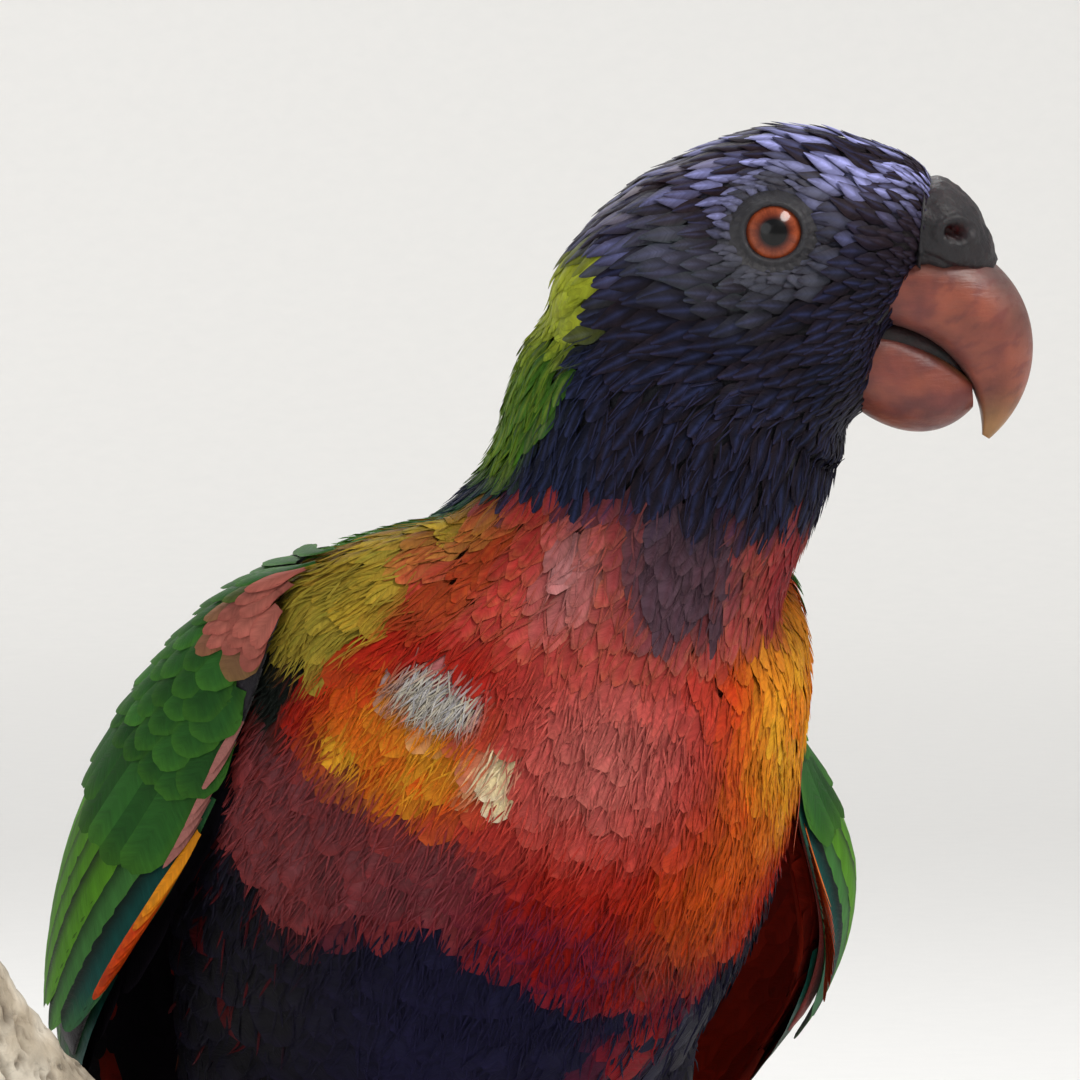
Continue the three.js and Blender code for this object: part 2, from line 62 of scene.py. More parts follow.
def clamp(value):
    return np.clip(value, 0, 1)


def smooth(low, high, value):
    """0 below low and 1 above high, with a soft step between."""
    t = clamp((np.asarray(value, float) - low) / (high - low))
    return t * t * (3 - 2 * t)


def lerp(a, b, share):
    return a + (b - a) * share


def mix(a, b, share):
    """Between two colours or vectors, or one for each share."""
    return a + (np.asarray(b) - a) * np.asarray(share, float)[..., None]


def turns(count):
    """The angles of a ring of points."""
    return np.linspace(0, 2 * math.pi, count, endpoint=False)


def unit(v):
    return v / np.maximum(np.linalg.norm(v, axis=-1, keepdims=True), 1e-9)


def rgb(code):
    """The linear colour of a hex code."""
    channels = [int(code[i : i + 2], 16) / 255 for i in (1, 3, 5)]
    return np.array([c / 12.92 if c < 0.04045 else ((c + 0.055) / 1.055) ** 2.4 for c in channels])


def hump(value, middle, half):
    """1 at the middle and 0 from half away."""
    return 1 - smooth(0, half, np.abs(value - middle))


def between(table, place):
    """A smooth value between named stations [place, value, value, ...], for an array of places."""
    rows = np.array(table, float)
    x, y = rows[:, 0], rows[:, 1:]
    slope = np.empty_like(y)
    slope[1:-1] = (y[2:] - y[:-2]) / (x[2:] - x[:-2])[:, None]
    slope[0] = (y[1] - y[0]) / (x[1] - x[0])
    slope[-1] = (y[-1] - y[-2]) / (x[-1] - x[-2])
    place = np.clip(np.asarray(place, float), x[0], x[-1])
    i = np.clip(np.searchsorted(x, place, side="right") - 1, 0, len(x) - 2)
    span = (x[i + 1] - x[i])[..., None]
    t = ((place - x[i]) / (x[i + 1] - x[i]))[..., None]
    ease = 2 * t**3 - 3 * t**2
    return (
        (ease + 1) * y[i]
        + (t**3 - 2 * t**2 + t) * span * slope[i]
        - ease * y[i + 1]
        + (t**3 - t**2) * span * slope[i + 1]
    )


class Frame:
    """An origin and three axes, the rows of a matrix."""

    def __init__(self, origin, axes):
        self.origin = np.array(origin, float)
        self.axes = np.array(axes, float)

    def out(self, *local):
        return self.origin + np.stack(np.broadcast_arrays(*local), -1) @ self.axes

    def into(self, world):
        return (np.asarray(world) - self.origin) @ self.axes.T


def middle_of(node):
    low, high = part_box(node)
    return np.array((low + high) / 2) / MM


# The head's frame has its left, ahead and up; the trunk's has left, back and down its axis.
EYE = {name: middle_of(f"eye_{name}") for name in SIDES}
EYE_RADIUS = 3.7
HEAD_LEFT = unit(EYE["left"] - EYE["right"])
HEAD_AHEAD = np.cross(HEAD_LEFT, [0, 0, 1])
HEAD = Frame((EYE["left"] + EYE["right"]) / 2, [HEAD_LEFT, HEAD_AHEAD, [0, 0, 1]])
HEAD.origin = HEAD.out(0, 0.5, 0.5)

PITCH = math.radians(52)
SHOULDER = HEAD.origin + [-17.7, 12.5, -32.3]
UP_BACK = np.array([0, math.sin(PITCH), math.cos(PITCH)])
DOWN_AXIS = np.array([0, math.cos(PITCH), -math.sin(PITCH)])
TRUNK = Frame(SHOULDER, [[1, 0, 0], UP_BACK, DOWN_AXIS])
PERCH_Z = SHOULDER[2] - 80  # the branch's axis


# ---------- meshes ----------


def node_mesh(name, grow=0.0):
    """A CAD node's welded points and triangles, each point moved out along its normal."""
    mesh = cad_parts[name].data
    points, faces = points_of(mesh), faces_of(mesh)
    _, first, again = np.unique(points.round(3), axis=0, return_index=True, return_inverse=True)
    points, faces = points[first], again.reshape(-1)[faces]
    return points + point_normals(points, faces) * grow, faces


def point_normals(points, faces):
    """Area-weighted normals of a mesh's points."""
    a, b, c = (points[faces[:, i]] for i in (0, 1, 2))
    flat = np.cross(b - a, c - a)
    total = np.zeros_like(points)
    for i in range(3):
        np.add.at(total, faces[:, i], flat)
    return unit(total)


def make(name, points, faces, tint=None, uvs=None, rim=None):
    """An object from points in millimetres and an array of faces that all have as many corners.

    An edge between two points of the rim is sharp.
    """
    faces = np.asarray(faces)
    mesh = bpy.data.meshes.new(name)
    mesh.vertices.add(len(points))
    mesh.vertices.foreach_set("co", (np.asarray(points) * MM).astype(np.float32).ravel())
    mesh.loops.add(faces.size)
    mesh.loops.foreach_set("vertex_index", faces.astype(np.int32).ravel())
    mesh.polygons.add(len(faces))
    starts = np.arange(0, faces.size, faces.shape[1], dtype=np.int32)
    mesh.polygons.foreach_set("loop_start", starts)
    mesh.update(calc_edges=True)
    mesh.polygons.foreach_set("use_smooth", np.ones(len(faces), bool))
    if rim is not None:
        ends = np.empty(len(mesh.edges) * 2, int)
        mesh.edges.foreach_get("vertices", ends)
        mesh.edges.foreach_set("use_edge_sharp", rim[ends.reshape(-1, 2)].all(1))
    if tint is not None:
        paint(mesh, tint)
    for label, uv in (uvs or {}).items():
        layer = mesh.uv_layers.new(name=label)
        layer.data.foreach_set("uv", uv[faces].astype(np.float32).ravel())
    made = bpy.data.objects.new(name, mesh)
    bpy.context.scene.collection.objects.link(made)
    return made


def paint(mesh, tint):
    """Stores each point's colour."""
    layer = mesh.color_attributes.new(name="Tint", type="FLOAT_COLOR", domain="POINT")
    solid = np.ones((len(mesh.vertices), 4), np.float32)
    solid[:, :3] = clamp(tint)
    layer.data.foreach_set("color", solid.ravel())


def points_of(mesh):
    points = np.empty(len(mesh.vertices) * 3)
    mesh.vertices.foreach_get("co", points)
    return points.reshape(-1, 3) / MM


def faces_of(mesh):
    """The mesh's triangles."""
    mesh.calc_loop_triangles()
    faces = np.empty(len(mesh.loop_triangles) * 3, int)
    mesh.loop_triangles.foreach_get("vertices", faces)
    return faces.reshape(-1, 3)


def move_points(mesh, points):
    mesh.vertices.foreach_set("co", (points * MM).astype(np.float32).ravel())
    mesh.update()


def join_parts(parts):
    """Several (points, faces) as one."""
    start = np.cumsum([0] + [len(points) for points, _ in parts])
    points = np.concatenate([points for points, _ in parts])
    faces = np.concatenate([faces + s for (_, faces), s in zip(parts, start)])
    return points, faces


def fused(name, parts, voxel, rounds):
    """One smooth skin over several closed meshes that overlap."""
    rough = make(name, *join_parts(parts))
    remesh = rough.modifiers.new("fuse", "REMESH")
    remesh.mode = "VOXEL"
    remesh.voxel_size = voxel * MM
    soft = rough.modifiers.new("soften", "SMOOTH")
    soft.factor = 0.5
    soft.iterations = rounds
    graph = bpy.context.evaluated_depsgraph_get()
    mesh = bpy.data.meshes.new_from_object(rough.evaluated_get(graph))
    rough.modifiers.clear()
    rough.data = mesh
    mesh.polygons.foreach_set("use_smooth", np.ones(len(mesh.polygons), bool))
    return rough


def grid_faces(rows, cols, wrap=False):
    """Quads over a grid of points, whose columns may close into a ring."""
    i, j = np.meshgrid(np.arange(rows - 1), np.arange(cols if wrap else cols - 1), indexing="ij")
    k = (j + 1) % cols
    quads = [i * cols + j, i * cols + k, (i + 1) * cols + k, (i + 1) * cols + j]
    return np.stack(quads, -1).reshape(-1, 4)


def as_triangles(quads):
    return np.concatenate([quads[:, [0, 1, 2]], quads[:, [0, 2, 3]]])


def outward(points, faces):
    """The triangles of a closed mesh, turned to face out."""
    a, b, c = (points[faces[:, i]] - points.mean(0) for i in (0, 1, 2))
    inside_out = np.einsum("ij,ij->i", a, np.cross(b, c)).sum() < 0
    return faces[:, ::-1] if inside_out else faces


def closed_loft(rings, wall=False):
    """Triangles over rings of points (rows, around, 3). Each end is closed by a fan, or in a wall, whose
    rings run out along one face and back along the other, by a strip between the two faces."""
    rows, around = rings.shape[:2]
    body = as_triangles(grid_faces(rows, around, wrap=True))
    if wall:
        j = np.arange(around // 2 - 1)
        strip = as_triangles(np.stack([j, j + 1, around - 2 - j, around - 1 - j], -1))
        points = rings.reshape(-1, 3)
        ends = [strip[:, ::-1], (rows - 1) * around + strip]
        return points, outward(points, np.concatenate([body, *ends]))
    points = np.concatenate([rings.reshape(-1, 3), [rings[0].mean(0), rings[-1].mean(0)]])
    j = np.arange(around)
    k = (j + 1) % around
    last = (rows - 1) * around
    first_cap = np.stack([k, j, np.full(around, rows * around)], -1)
    last_cap = np.stack([last + j, last + k, np.full(around, rows * around + 1)], -1)
    return points, outward(points, np.concatenate([body, first_cap, last_cap]))


def tube(path, radius, around, side, squash=1.0):
    """A closed tube along a path; radius is a number, one a row, or (rows, around)."""
    path = np.asarray(path, float)
    along = unit(np.gradient(path, axis=0))
    up = unit(np.cross(along, side))
    across = np.cross(up, along)
    turn = turns(around)
    radius = np.asarray(radius, float)
    radius = np.broadcast_to(radius[:, None] if radius.ndim == 1 else radius, (len(path), around))
    ring = across[:, None] * np.cos(turn)[:, None] + up[:, None] * (np.sin(turn) * squash)[:, None]
    return closed_loft(path[:, None] + ring * radius[..., None])


def noise(points, scale, seed=0, octaves=3):
    """Smooth repeatable noise of about -1 to 1, from sine waves in fixed directions."""
    dice = np.random.default_rng(seed)
    total = np.zeros(len(points))
    for octave in range(octaves):
        for _ in range(6):
            way = unit(dice.normal(size=3))
            phase = dice.uniform(0, 2 * math.pi)
            wave = 2 * math.pi * 1.9**octave / scale * dice.uniform(0.7, 1.3)
            total += np.sin(points @ way * wave + phase) / (2.4 * 1.7**octave)
    return total / 2


def piece(name, solid, tint, slot, finish, *nodes):
    """A piece of the bird or its stand from its points and triangles."""
    return own(make(name, *solid, tint), slot, FINISH[finish], *nodes)


def own(obj, slot, material, *nodes):
    """The object joins the bird's one body, with its finish and the CAD nodes it stands for."""
    obj.data.materials.clear()
    obj.data.materials.append(material)
    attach(obj, BODY)
    if nodes:
        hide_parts(*nodes)
    return obj


# ---------- materials ----------


class Paint:
    """A node material whose colour starts from the mesh's Tint."""

    def __init__(self, name, **settings):
        self.data = bpy.data.materials.new(name)
        self.data.use_nodes = True
        self.tree = self.data.node_tree
        self.shader = self.tree.nodes["Principled BSDF"]
        for key, value in settings.items():
            self.shader.inputs[key.replace("_", " ")].default_value = value
        self.place = self.node("TexCoord", out=3)

    def node(self, kind, *inputs, out=0, **options):
        made = self.tree.nodes.new("ShaderNode" + kind)
        for key, value in options.items():
            setattr(made, key, value)
        for slot, value in zip(made.inputs, inputs):
            if isinstance(value, bpy.types.NodeSocket):
                self.tree.links.new(value, slot)
            elif value is not None:
                slot.default_value = value
        return made.outputs[out]

    def math(self, operation, a, b=0.0):
        return self.node("Math", a, b, operation=operation)

    def noise(self, scale, detail=4.0, rough=0.55, at=None):
        """Noise of a scale in features to the metre."""
        return self.node("TexNoise", at or self.place, None, scale, detail, rough)

    def spread(self, value, low, high, to_low, to_high):
        return self.node("MapRange", value, low, high, to_low, to_high)

    def tint(self):
        return self.node("VertexColor", layer_name="Tint")

    def shade(self, colour, share):
        """The colour times a number."""
        mixer = self.tree.nodes.new("ShaderNodeVectorMath")
        mixer.operation = "SCALE"
        self.tree.links.new(colour, mixer.inputs[0])
        self.tree.links.new(share, mixer.inputs["Scale"])
        return mixer.outputs[0]

    def blend(self, share, a, b):
        """The colour between a and b."""
        mixer = self.tree.nodes.new("ShaderNodeMix")
        mixer.data_type = "RGBA"
        for slot, value in ((0, share), (6, a), (7, b)):
            if isinstance(value, bpy.types.NodeSocket):
                self.tree.links.new(value, mixer.inputs[slot])
            else:
                mixer.inputs[slot].default_value = value
        return mixer.outputs[2]

    def colour(self, socket):
        self.tree.links.new(socket, self.shader.inputs["Base Color"])

    def rough(self, socket):
        self.tree.links.new(socket, self.shader.inputs["Roughness"])

    def bump(self, height, depth_mm, strength=1.0):
        made = self.tree.nodes.new("ShaderNodeBump")
        made.inputs["Distance"].default_value = depth_mm * MM
        made.inputs["Strength"].default_value = strength
        self.tree.links.new(height, made.inputs["Height"])
        before = self.shader.inputs["Normal"].links
        if before:
            self.tree.links.new(before[0].from_socket, made.inputs["Normal"])
        self.tree.links.new(made.outputs[0], self.shader.inputs["Normal"])


def feather_paint(name, barbs, contrast, relief_mm, roughness):
    """A vane's finish: fine uneven barbs slanting from the shaft. barbs is their number in a centimetre."""
    paint = Paint(name, Roughness=roughness, Specular_IOR_Level=0.08)
    vane = paint.node("UVMap", uv_map="Vane")
    across = paint.node("SeparateXYZ", vane)
    along = across.node.outputs[1]
    out = paint.math("ABSOLUTE", paint.math("SUBTRACT", across, 0.5))
    slant = paint.math("MULTIPLY", out, 0.9)
    rank = paint.math("MULTIPLY", paint.math("SUBTRACT", along, slant), barbs)
    strand = paint.node("CombineXYZ", rank, paint.math("MULTIPLY", out, 9.0), 0.0)
    own_place = paint.node("Mapping", paint.place, None, None, (90, 90, 90))
    spot = paint.node("VectorMath", strand, own_place, operation="ADD")
    barb = paint.noise(1.0, 2.0, 0.6, at=spot)
    clump = paint.noise(0.22, 2.0, 0.5, at=spot)
    light = paint.math("ADD", paint.spread(barb, 0.3, 0.7, -contrast, contrast), 1.0)
    light = paint.math("ADD", light, paint.spread(clump, 0.35, 0.65, -contrast, contrast))
    paint.colour(paint.shade(paint.tint(), light))
    paint.rough(paint.spread(barb, 0.3, 0.7, roughness - 0.08, roughness + 0.1))
    paint.bump(barb, relief_mm)
    return paint.data


# ---------- the skin ----------


class Surface:
    """A mesh that feathers are laid over."""

    def __init__(self, points, faces, uv=None):
        self.points, self.faces = points, faces
        self.normals = point_normals(points, faces)
        self.uv = uv
        self.tree = BVHTree.FromPolygons(points.tolist(), faces.tolist())

    def nearest(self, places):
        """For each place: the nearest point, the smooth normal there, and its face and weights."""
        find = self.tree.find_nearest
        found = [find(p) for p in places.tolist()]
        foot = np.array([f[0] for f in found])
        face = np.array([f[2] for f in found])
        share = self.weights(foot, face)
        normal = np.einsum("nk,nkd->nd", share, self.normals[self.faces[face]])
        return foot, unit(normal), face, share

    def weights(self, foot, face):
        a, b, c = (self.points[self.faces[face, i]] for i in (0, 1, 2))
        full = np.cross(b - a, c - a)
        size = np.maximum((full * full).sum(-1), 1e-12)
        w_b = (np.cross(foot - a, c - a) * full).sum(-1) / size
        w_c = (np.cross(b - a, foot - a) * full).sum(-1) / size
        return clamp(np.stack([1 - w_b - w_c, w_b, w_c], -1))

    def uv_at(self, face, share):
        return np.einsum("nk,nkd->nd", share, self.uv[face])

    def scatter(self, spacing, keep, seed):
        """Places about one spacing apart, none nearer, where keep says so."""
        dice = np.random.default_rng(seed)
        a, b, c = (self.points[self.faces[:, i]] for i in (0, 1, 2))
        middle = (a + b + c) / 3
        area = np.linalg.norm(np.cross(b - a, c - a), axis=-1) / 2
        weight = area / spacing(middle) ** 2 * keep(middle)
        face = dice.choice(len(area), int(7 * weight.sum()), p=weight / weight.sum())
        share = dice.dirichlet([1, 1, 1], len(face))
        place = np.einsum("nk,nkd->nd", share, self.points[self.faces[face]])
        kept = keep(place) > 0
        face, share, place = face[kept], share[kept], place[kept]
        reach = spacing(place)
        tree = kdtree.KDTree(len(place))
        for i, p in enumerate(place.tolist()):
            tree.insert(p, i)
        tree.balance()
        alive = np.ones(len(place), bool)
        chosen = []
        for i, p in enumerate(place.tolist()):
            if alive[i]:
                chosen.append(i)
                alive[[k for _, k, _ in tree.find_range(p, reach[i])]] = False
        return place[chosen], face[chosen], share[chosen]


# The line that the plumage runs along: bill root, skull, neck, then the trunk's axis to the rump.
NECK_LINE = [
    [12.6, -29.4, 105],
    [10.8, -26.6, 97],
    [9.4, -24.2, 90],
    [8, -22.2, 84.7],
    [5.6, -19.6, 77.5],
    [2.5, -17, 70],
]
SPINE = np.concatenate(
    [
        [HEAD.out(0, 12, -5), HEAD.out(0, 3, -6)],
        np.array(NECK_LINE) + [0, 0, PERCH_Z],
        TRUNK.out(0, 0, np.arange(22.0, 130, 9)),
    ]
)
SPINE_AT = np.concatenate([[0], np.cumsum(np.linalg.norm(np.diff(SPINE, axis=0), axis=1))])
SPINE_WAY = unit(np.gradient(SPINE, SPINE_AT, axis=0))


def along_spine(p):
    """How far along the spine's line each place is, in millimetres."""
    best = np.full(len(p), 1e9)
    at = np.zeros(len(p))
    for i in range(len(SPINE) - 1):
        step = SPINE[i + 1] - SPINE[i]
        t = clamp((p - SPINE[i]) @ step / (step @ step))
        gap = np.linalg.norm(p - SPINE[i] - t[:, None] * step, axis=1)
        nearer = gap < best
        best[nearer] = gap[nearer]
        at[nearer] = (SPINE_AT[i] + t * np.linalg.norm(step))[nearer]
    return at


HEAD_END = SPINE_AT[2] + 4
NECK_END = SPINE_AT[6] + 4
BILL_ROOT = HEAD.out(0, 16, -4)
# The plumage's edge round the bill and cere: how far ahead it reaches at each height.
BILL_EDGE = [
    [-22, 6.6],
    [-18.6, 7.4],
    [-14.2, 7.9],
    [-10.8, 9.6],
    [-5.6, 12.2],
    [-4.0, 14.2],
    [3, 14.8],
    [7, 13.6],
]


def ahead_of_edge(p):
    """How far past the plumage's edge a place on the head is, towards the bill."""
    head = HEAD.into(p)
    edge = np.array(BILL_EDGE)
    return head[:, 1] - np.interp(head[:, 2], edge[:, 0], edge[:, 1])


def eye_gap(p):
    """Distance from the nearer eye's line of sight."""
    head = HEAD.into(p)
    return np.hypot(head[:, 1] + 0.5, head[:, 2] + 0.5)


def lie(p, normal):
    """The way the plumage lies on the surface: back from the bill, then along the spine."""
    at = along_spine(p)
    away = unit(p - BILL_ROOT)
    spine = np.stack([np.interp(at, SPINE_AT, SPINE_WAY[:, k]) for k in range(3)], -1)
    flow = mix(away, unit(spine), smooth(HEAD_END - 8, HEAD_END + 10, at))
    flow = flow - normal * (flow * normal).sum(-1, keepdims=True)
    return unit(flow)


def coat_depth(p):
    """How far the skin lies inside the plumage's outline."""
    at = along_spine(p)
    deep = 0.8 + 0.5 * smooth(HEAD_END - 6, HEAD_END + 6, at)
    deep = deep + 0.9 * smooth(NECK_END - 4, NECK_END + 12, at)
    face = np.minimum(smooth(-1, -7, ahead_of_edge(p)), smooth(4, 8, eye_gap(p)))
    in_head = 1 - smooth(HEAD_END - 6, HEAD_END, at)
    return deep * (1 - 0.6 * (1 - face) * in_head) * (1 - 0.3 * smooth(150, 140, p[:, 2]))


def clipped(name, grow, ahead):
    """A node of the bill drawn back behind a place in the head's frame, as a plug for the skin."""
    points, faces = node_mesh(name, grow)
    local = HEAD.into(points)
    local[:, 1] = np.minimum(local[:, 1], ahead)
    return HEAD.out(local[:, 0], local[:, 1], local[:, 2]), faces


def spread_out(values, faces, rounds):
    """The values at a mesh's points, each averaged with its neighbours a number of times."""
    ends = np.concatenate([faces[:, [0, 1]], faces[:, [1, 2]], faces[:, [2, 0]]])
    count = np.bincount(ends.ravel(), minlength=len(values))
    for _ in range(rounds):
        total = np.bincount(ends[:, 0], values[ends[:, 1]], len(values))
        total += np.bincount(ends[:, 1], values[ends[:, 0]], len(values))
        values = (values + total / np.maximum(count, 1)) / 2
    return values


def build_skin():
    """The body under the feathers: the nodes of flesh, fused and drawn in by the plumage's depth."""
    parts = [node_mesh(name, 0.35) for name in FLESH]
    parts += [node_mesh(f"eye_{name}", -0.9) for name in SIDES]
    parts.append(clipped("cere", -0.4, 17))
    parts.append(clipped("bill_upper", 0.1, 12.5))
    parts.append(clipped("bill_lower", 0.1, 10))
    skin = fused("skin", parts, 0.9, 14)
    points, faces = points_of(skin.data), faces_of(skin.data)
    normals = point_normals(points, faces)
    outline = Surface(*join_parts([node_mesh(name) for name in FLESH]))
    foot, *_ = outline.nearest(points)
    above = np.clip(((points - foot) * normals).sum(-1), -1.2, 1.2)
    above = spread_out(above, faces, 6)
    from_sight = [np.linalg.norm(np.cross(points - c, HEAD_LEFT), axis=1) for c in EYE.values()]
    socket = 0.9 * smooth(4.6, 3.2, np.min(from_sight, 0))
    move_points(skin.data, points - normals * (coat_depth(points) + above + socket)[:, None])
    return skin


def unwrap(obj):
    """An unwrap of the object's own shape, as each face corner's place."""
    bpy.context.view_layer.objects.active = obj
    obj.select_set(True)
    bpy.ops.object.mode_set(mode="EDIT")
    bpy.ops.mesh.select_all(action="SELECT")
    bpy.ops.mesh.quads_convert_to_tris()
    bpy.ops.uv.smart_project(angle_limit=math.radians(70), island_margin=0.004)
    bpy.ops.object.mode_set(mode="OBJECT")
    obj.select_set(False)
    layer = obj.data.uv_layers.active
    layer.name = "OFBake"
    uv = np.empty(len(obj.data.loops) * 2)
    layer.data.foreach_get("uv", uv)
    corners = np.empty(len(obj.data.loops), int)
    obj.data.loops.foreach_get("vertex_index", corners)
    return corners.reshape(-1, 3), uv.reshape(-1, 3, 2)


# ---------- markings ----------

INK = rgb("#101126")
BROWN = rgb("#291c20")
STREAK = rgb("#b0b2f2")
THROAT = rgb("#131420")
THROAT_STREAK = rgb("#3a4576")
GREY_FACE = rgb("#51525c")
TAN = rgb("#857b7c")
EAR = rgb("#3c4a48")
BARE = rgb("#2a282c")
COLLAR = rgb("#a3aa2c")
NAPE = rgb("#3f6a1c")
GREEN = rgb("#326628")
DARK_GREEN = rgb("#17401a")
BRIGHT_GREEN = rgb("#66a31f")
RED = rgb("#b42012")
DEEP_RED = rgb("#8e0f0c")
ORANGE = rgb("#d85a14")
YELLOW = rgb("#dca529")
OLIVE = rgb("#98842f")
PINK = rgb("#b8625d")
PLUM = rgb("#42404e")
MAUVE = rgb("#57444a")
OCHRE = rgb("#a5672c")
BELLY = rgb("#181730")
SCALLOP = rgb("#211a40")
FLANK = rgb("#17161b")
FLANK_RED = rgb("#5c0d0e")
DOWN = rgb("#b3b1b6")
CREAM = rgb("#e6d6a4")
VENT = rgb("#9aa52c")

# Where the grey down shows on the breast: degrees round to the bird's right, and distance down.
DOWN_ANGLE, DOWN_AT = 46, 4.3
SKULL_END = 36  # how far along the spine the head's own colours reach
# The collar's front edge: how far ahead of the eyes it comes, at heights from the eyes' level.
COLLAR_HEIGHTS = [-27, -23, -15, -10, -4]
COLLAR_EDGE = [-24.8, -24, -20.2, -19, -17.4]
# The red breast's lower border: degrees round from the belly's middle and distance down the trunk.
BREAST_END = [
    [-110, 22],
    [-82, 29],
    [-55, 32],
    [-30, 24.5],
    [-9.5, 28.5],
    [6, 31],
    [16, 33],
    [32, 34.6],
    [52, 30],
    [80, 24],
    [110, 20],
]


def markings(p, jitter):
    """The plumage's colours at places, each with its own chance.

    They are the main one, the edge's and its share, and the shaft's and its share."""
    count = len(p)
    head, trunk = HEAD.into(p), TRUNK.into(p)
    _, ahead, above = head.T
    across, back, down = trunk.T
    angle = np.degrees(np.arctan2(across, -back))
    at = along_spine(p)
    high = p[:, 2] - PERCH_Z
    rough = noise(p, 14, 1) * 0.6 + noise(p, 5, 2) * 0.4

    def on(edge, width, value):
        """A share that is 1 past an edge, ragged by noise and by each feather's own chance."""
        return smooth(-width, width, value - edge + rough * width + jitter * width * 0.3)

    main = mix(GREEN, DARK_GREEN, clamp(0.35 + rough * 0.5 + jitter * 0.12))
    edge = mix(main, BRIGHT_GREEN, 0.55)
    edge_share = np.full(count, 0.7)
    shaft = mix(main, BRIGHT_GREEN, 0.3)
    shaft_share = np.full(count, 0.25)

    def lay(share, main_to, edge_to, edge_at, shaft_to, shaft_at):
        nonlocal main, edge, edge_share, shaft, shaft_share
        main = mix(main, main_to, share)
        edge = mix(edge, edge_to, share)
        edge_share = lerp(edge_share, edge_at, share)
        shaft = mix(shaft, shaft_to, share)
        shaft_share = lerp(shaft_share, shaft_at, share)

    # The trunk's front: belly first, then the red breast with its yellow and orange patches over it.
    front = on(0, 5, 101 - np.abs(angle)) * smooth(-20, -14, down)
    belly = mix(BELLY, FLANK, smooth(25, 60, np.abs(angle)))
    lay(front, belly, mix(belly, SCALLOP, 0.5), 0.5, belly, 0.2)
    spots = front * (hump(angle, 22, 16) * hump(down, 40, 9)) * (jitter > 0.1)
    lay(spots, DEEP_RED, RED, 0.4, DEEP_RED, 0.2)
    flank = front * smooth(48, 66, np.abs(angle)) * smooth(24, 34, down) * (jitter > 1.2)
    lay(flank * smooth(80, 60, down) * 0.6, FLANK_RED, FLANK_RED, 0.4, FLANK_RED, 0.2)
    vent = front * on(71, 4, down)
    lay(vent, VENT, mix(VENT, DARK_GREEN, 0.6), 0.6, VENT, 0.2)

    border = np.array(BREAST_END)
    limit = np.interp(angle, border[:, 0], border[:, 1])
    breast = front * on(0, 1.4, limit - down)
    red = mix(RED, DEEP_RED, clamp(0.3 + rough * 0.5 + jitter * 0.08 + 0.3 * smooth(17, 27, down)))
    lay(breast, red, mix(red, ORANGE, 0.25), 0.35, mix(red, DEEP_RED, 0.5), 0.3)
    scallops = breast * smooth(13, 5, limit - down) * smooth(-62, -40, angle) * smooth(48, 26, angle)
    lay(scallops, red, SCALLOP, 0.95, DEEP_RED, 0.4)
    veiled = breast * smooth(-92, -78, angle) * smooth(-12, -34, angle) * smooth(12, 18, down)
    lay(veiled * 0.7, MAUVE, DEEP_RED, 0.4, MAUVE, 0.2)
    pinkish = breast * hump(angle, -2, 44) * hump(down, 6, 13)
    lay(pinkish * 0.8, PINK, mix(PINK, CREAM, 0.2), 0.3, PINK, 0.2)
    sun = breast * clamp(hump(angle, 60, 40) * hump(down, 11, 15) * 1.8)
    amber = mix(ORANGE, YELLOW, clamp(0.2 + rough * 0.7 + smooth(30, 52, angle) * 0.5))
    lay(sun, amber, mix(amber, YELLOW, 0.5), 0.4, mix(amber, RED, 0.4), 0.3)
    low_orange = breast * hump(angle, 30, 28) * hump(down, 22, 14) * 0.75
    lay(low_orange, ORANGE, mix(ORANGE, YELLOW, 0.3), 0.4, RED, 0.4)
    gold = breast * clamp(hump(angle, -49, 24) * hump(down, 9.5, 7) * 2.2)
    fire = mix(ORANGE, YELLOW, clamp(0.45 + rough * 1.1 + jitter * 0.12))
    lay(gold, fire, mix(fire, YELLOW, 0.6), 0.5, mix(fire, RED, 0.5), 0.3)
    top = breast * smooth(1.5, -1.5, down) * smooth(-104, -96, angle)
    dusky = mix(RED, PINK, 0.35 + 0.3 * smooth(-40, 10, angle))
    lay(top, mix(dusky, DEEP_RED, 0.3), mix(dusky, OLIVE, 0.5), 0.4, DEEP_RED, 0.3)
    ochre = breast * hump(angle, -80, 26) * hump(down, -4.5, 3.5)
    lay(ochre, OCHRE, mix(OCHRE, YELLOW, 0.4), 0.5, DEEP_RED, 0.3)
    wander = angle - 4 * rough
    olive = breast * smooth(-66, -71, wander) * smooth(-1.2, 1, down + 2.5 - 0.1 * (wander + 88))
    olive = olive * smooth(1.5, -1.5, down - 9 + 0.2 * (wander + 75) + 2 * rough)
    lay(olive, mix(OLIVE, YELLOW, clamp(0.1 + 0.5 * rough)), mix(OLIVE, YELLOW, 0.35), 0.4, NAPE, 0.3)
    # Painted shade: a blackish strip on the breast's side where the folded wing meets it.
    shade = breast * smooth(-71, -77, angle + 2 * rough) * smooth(8, 11, down) * smooth(19, 15, down)
    lay(shade, BLACKISH, BLACKISH, 0.3, BLACKISH, 0.1)
    brick = breast * clamp(hump(angle + 4 * rough, -62, 12) * hump(down, -2.2, 5) * 2.2)
    lay(brick, mix(DEEP_RED, OCHRE, 0.3), mix(RED, OCHRE, 0.3), 0.4, DEEP_RED, 0.4)
    bare_patch = breast * clamp(hump(angle + 2 * rough, -DOWN_ANGLE, 13) * hump(down, DOWN_AT, 2.4) * 2.3)
    fluff = mix(DOWN, CREAM, np.clip(0.2 + 0.3 * jitter, 0, 0.5))
    lay(bare_patch, fluff, mix(DOWN, CREAM, 0.4), 0.4, GREY_FACE, 0.25)
    fleck = hump(angle + 5 * rough, -30, 6) * hump(down + 1.5 * rough, 8.4, 3.0)
    cream = breast * np.clip(fleck * (1.3 + 0.4 * jitter), 0, 0.9)
    lay(cream, CREAM, DOWN, 0.4, CREAM, 0.2)

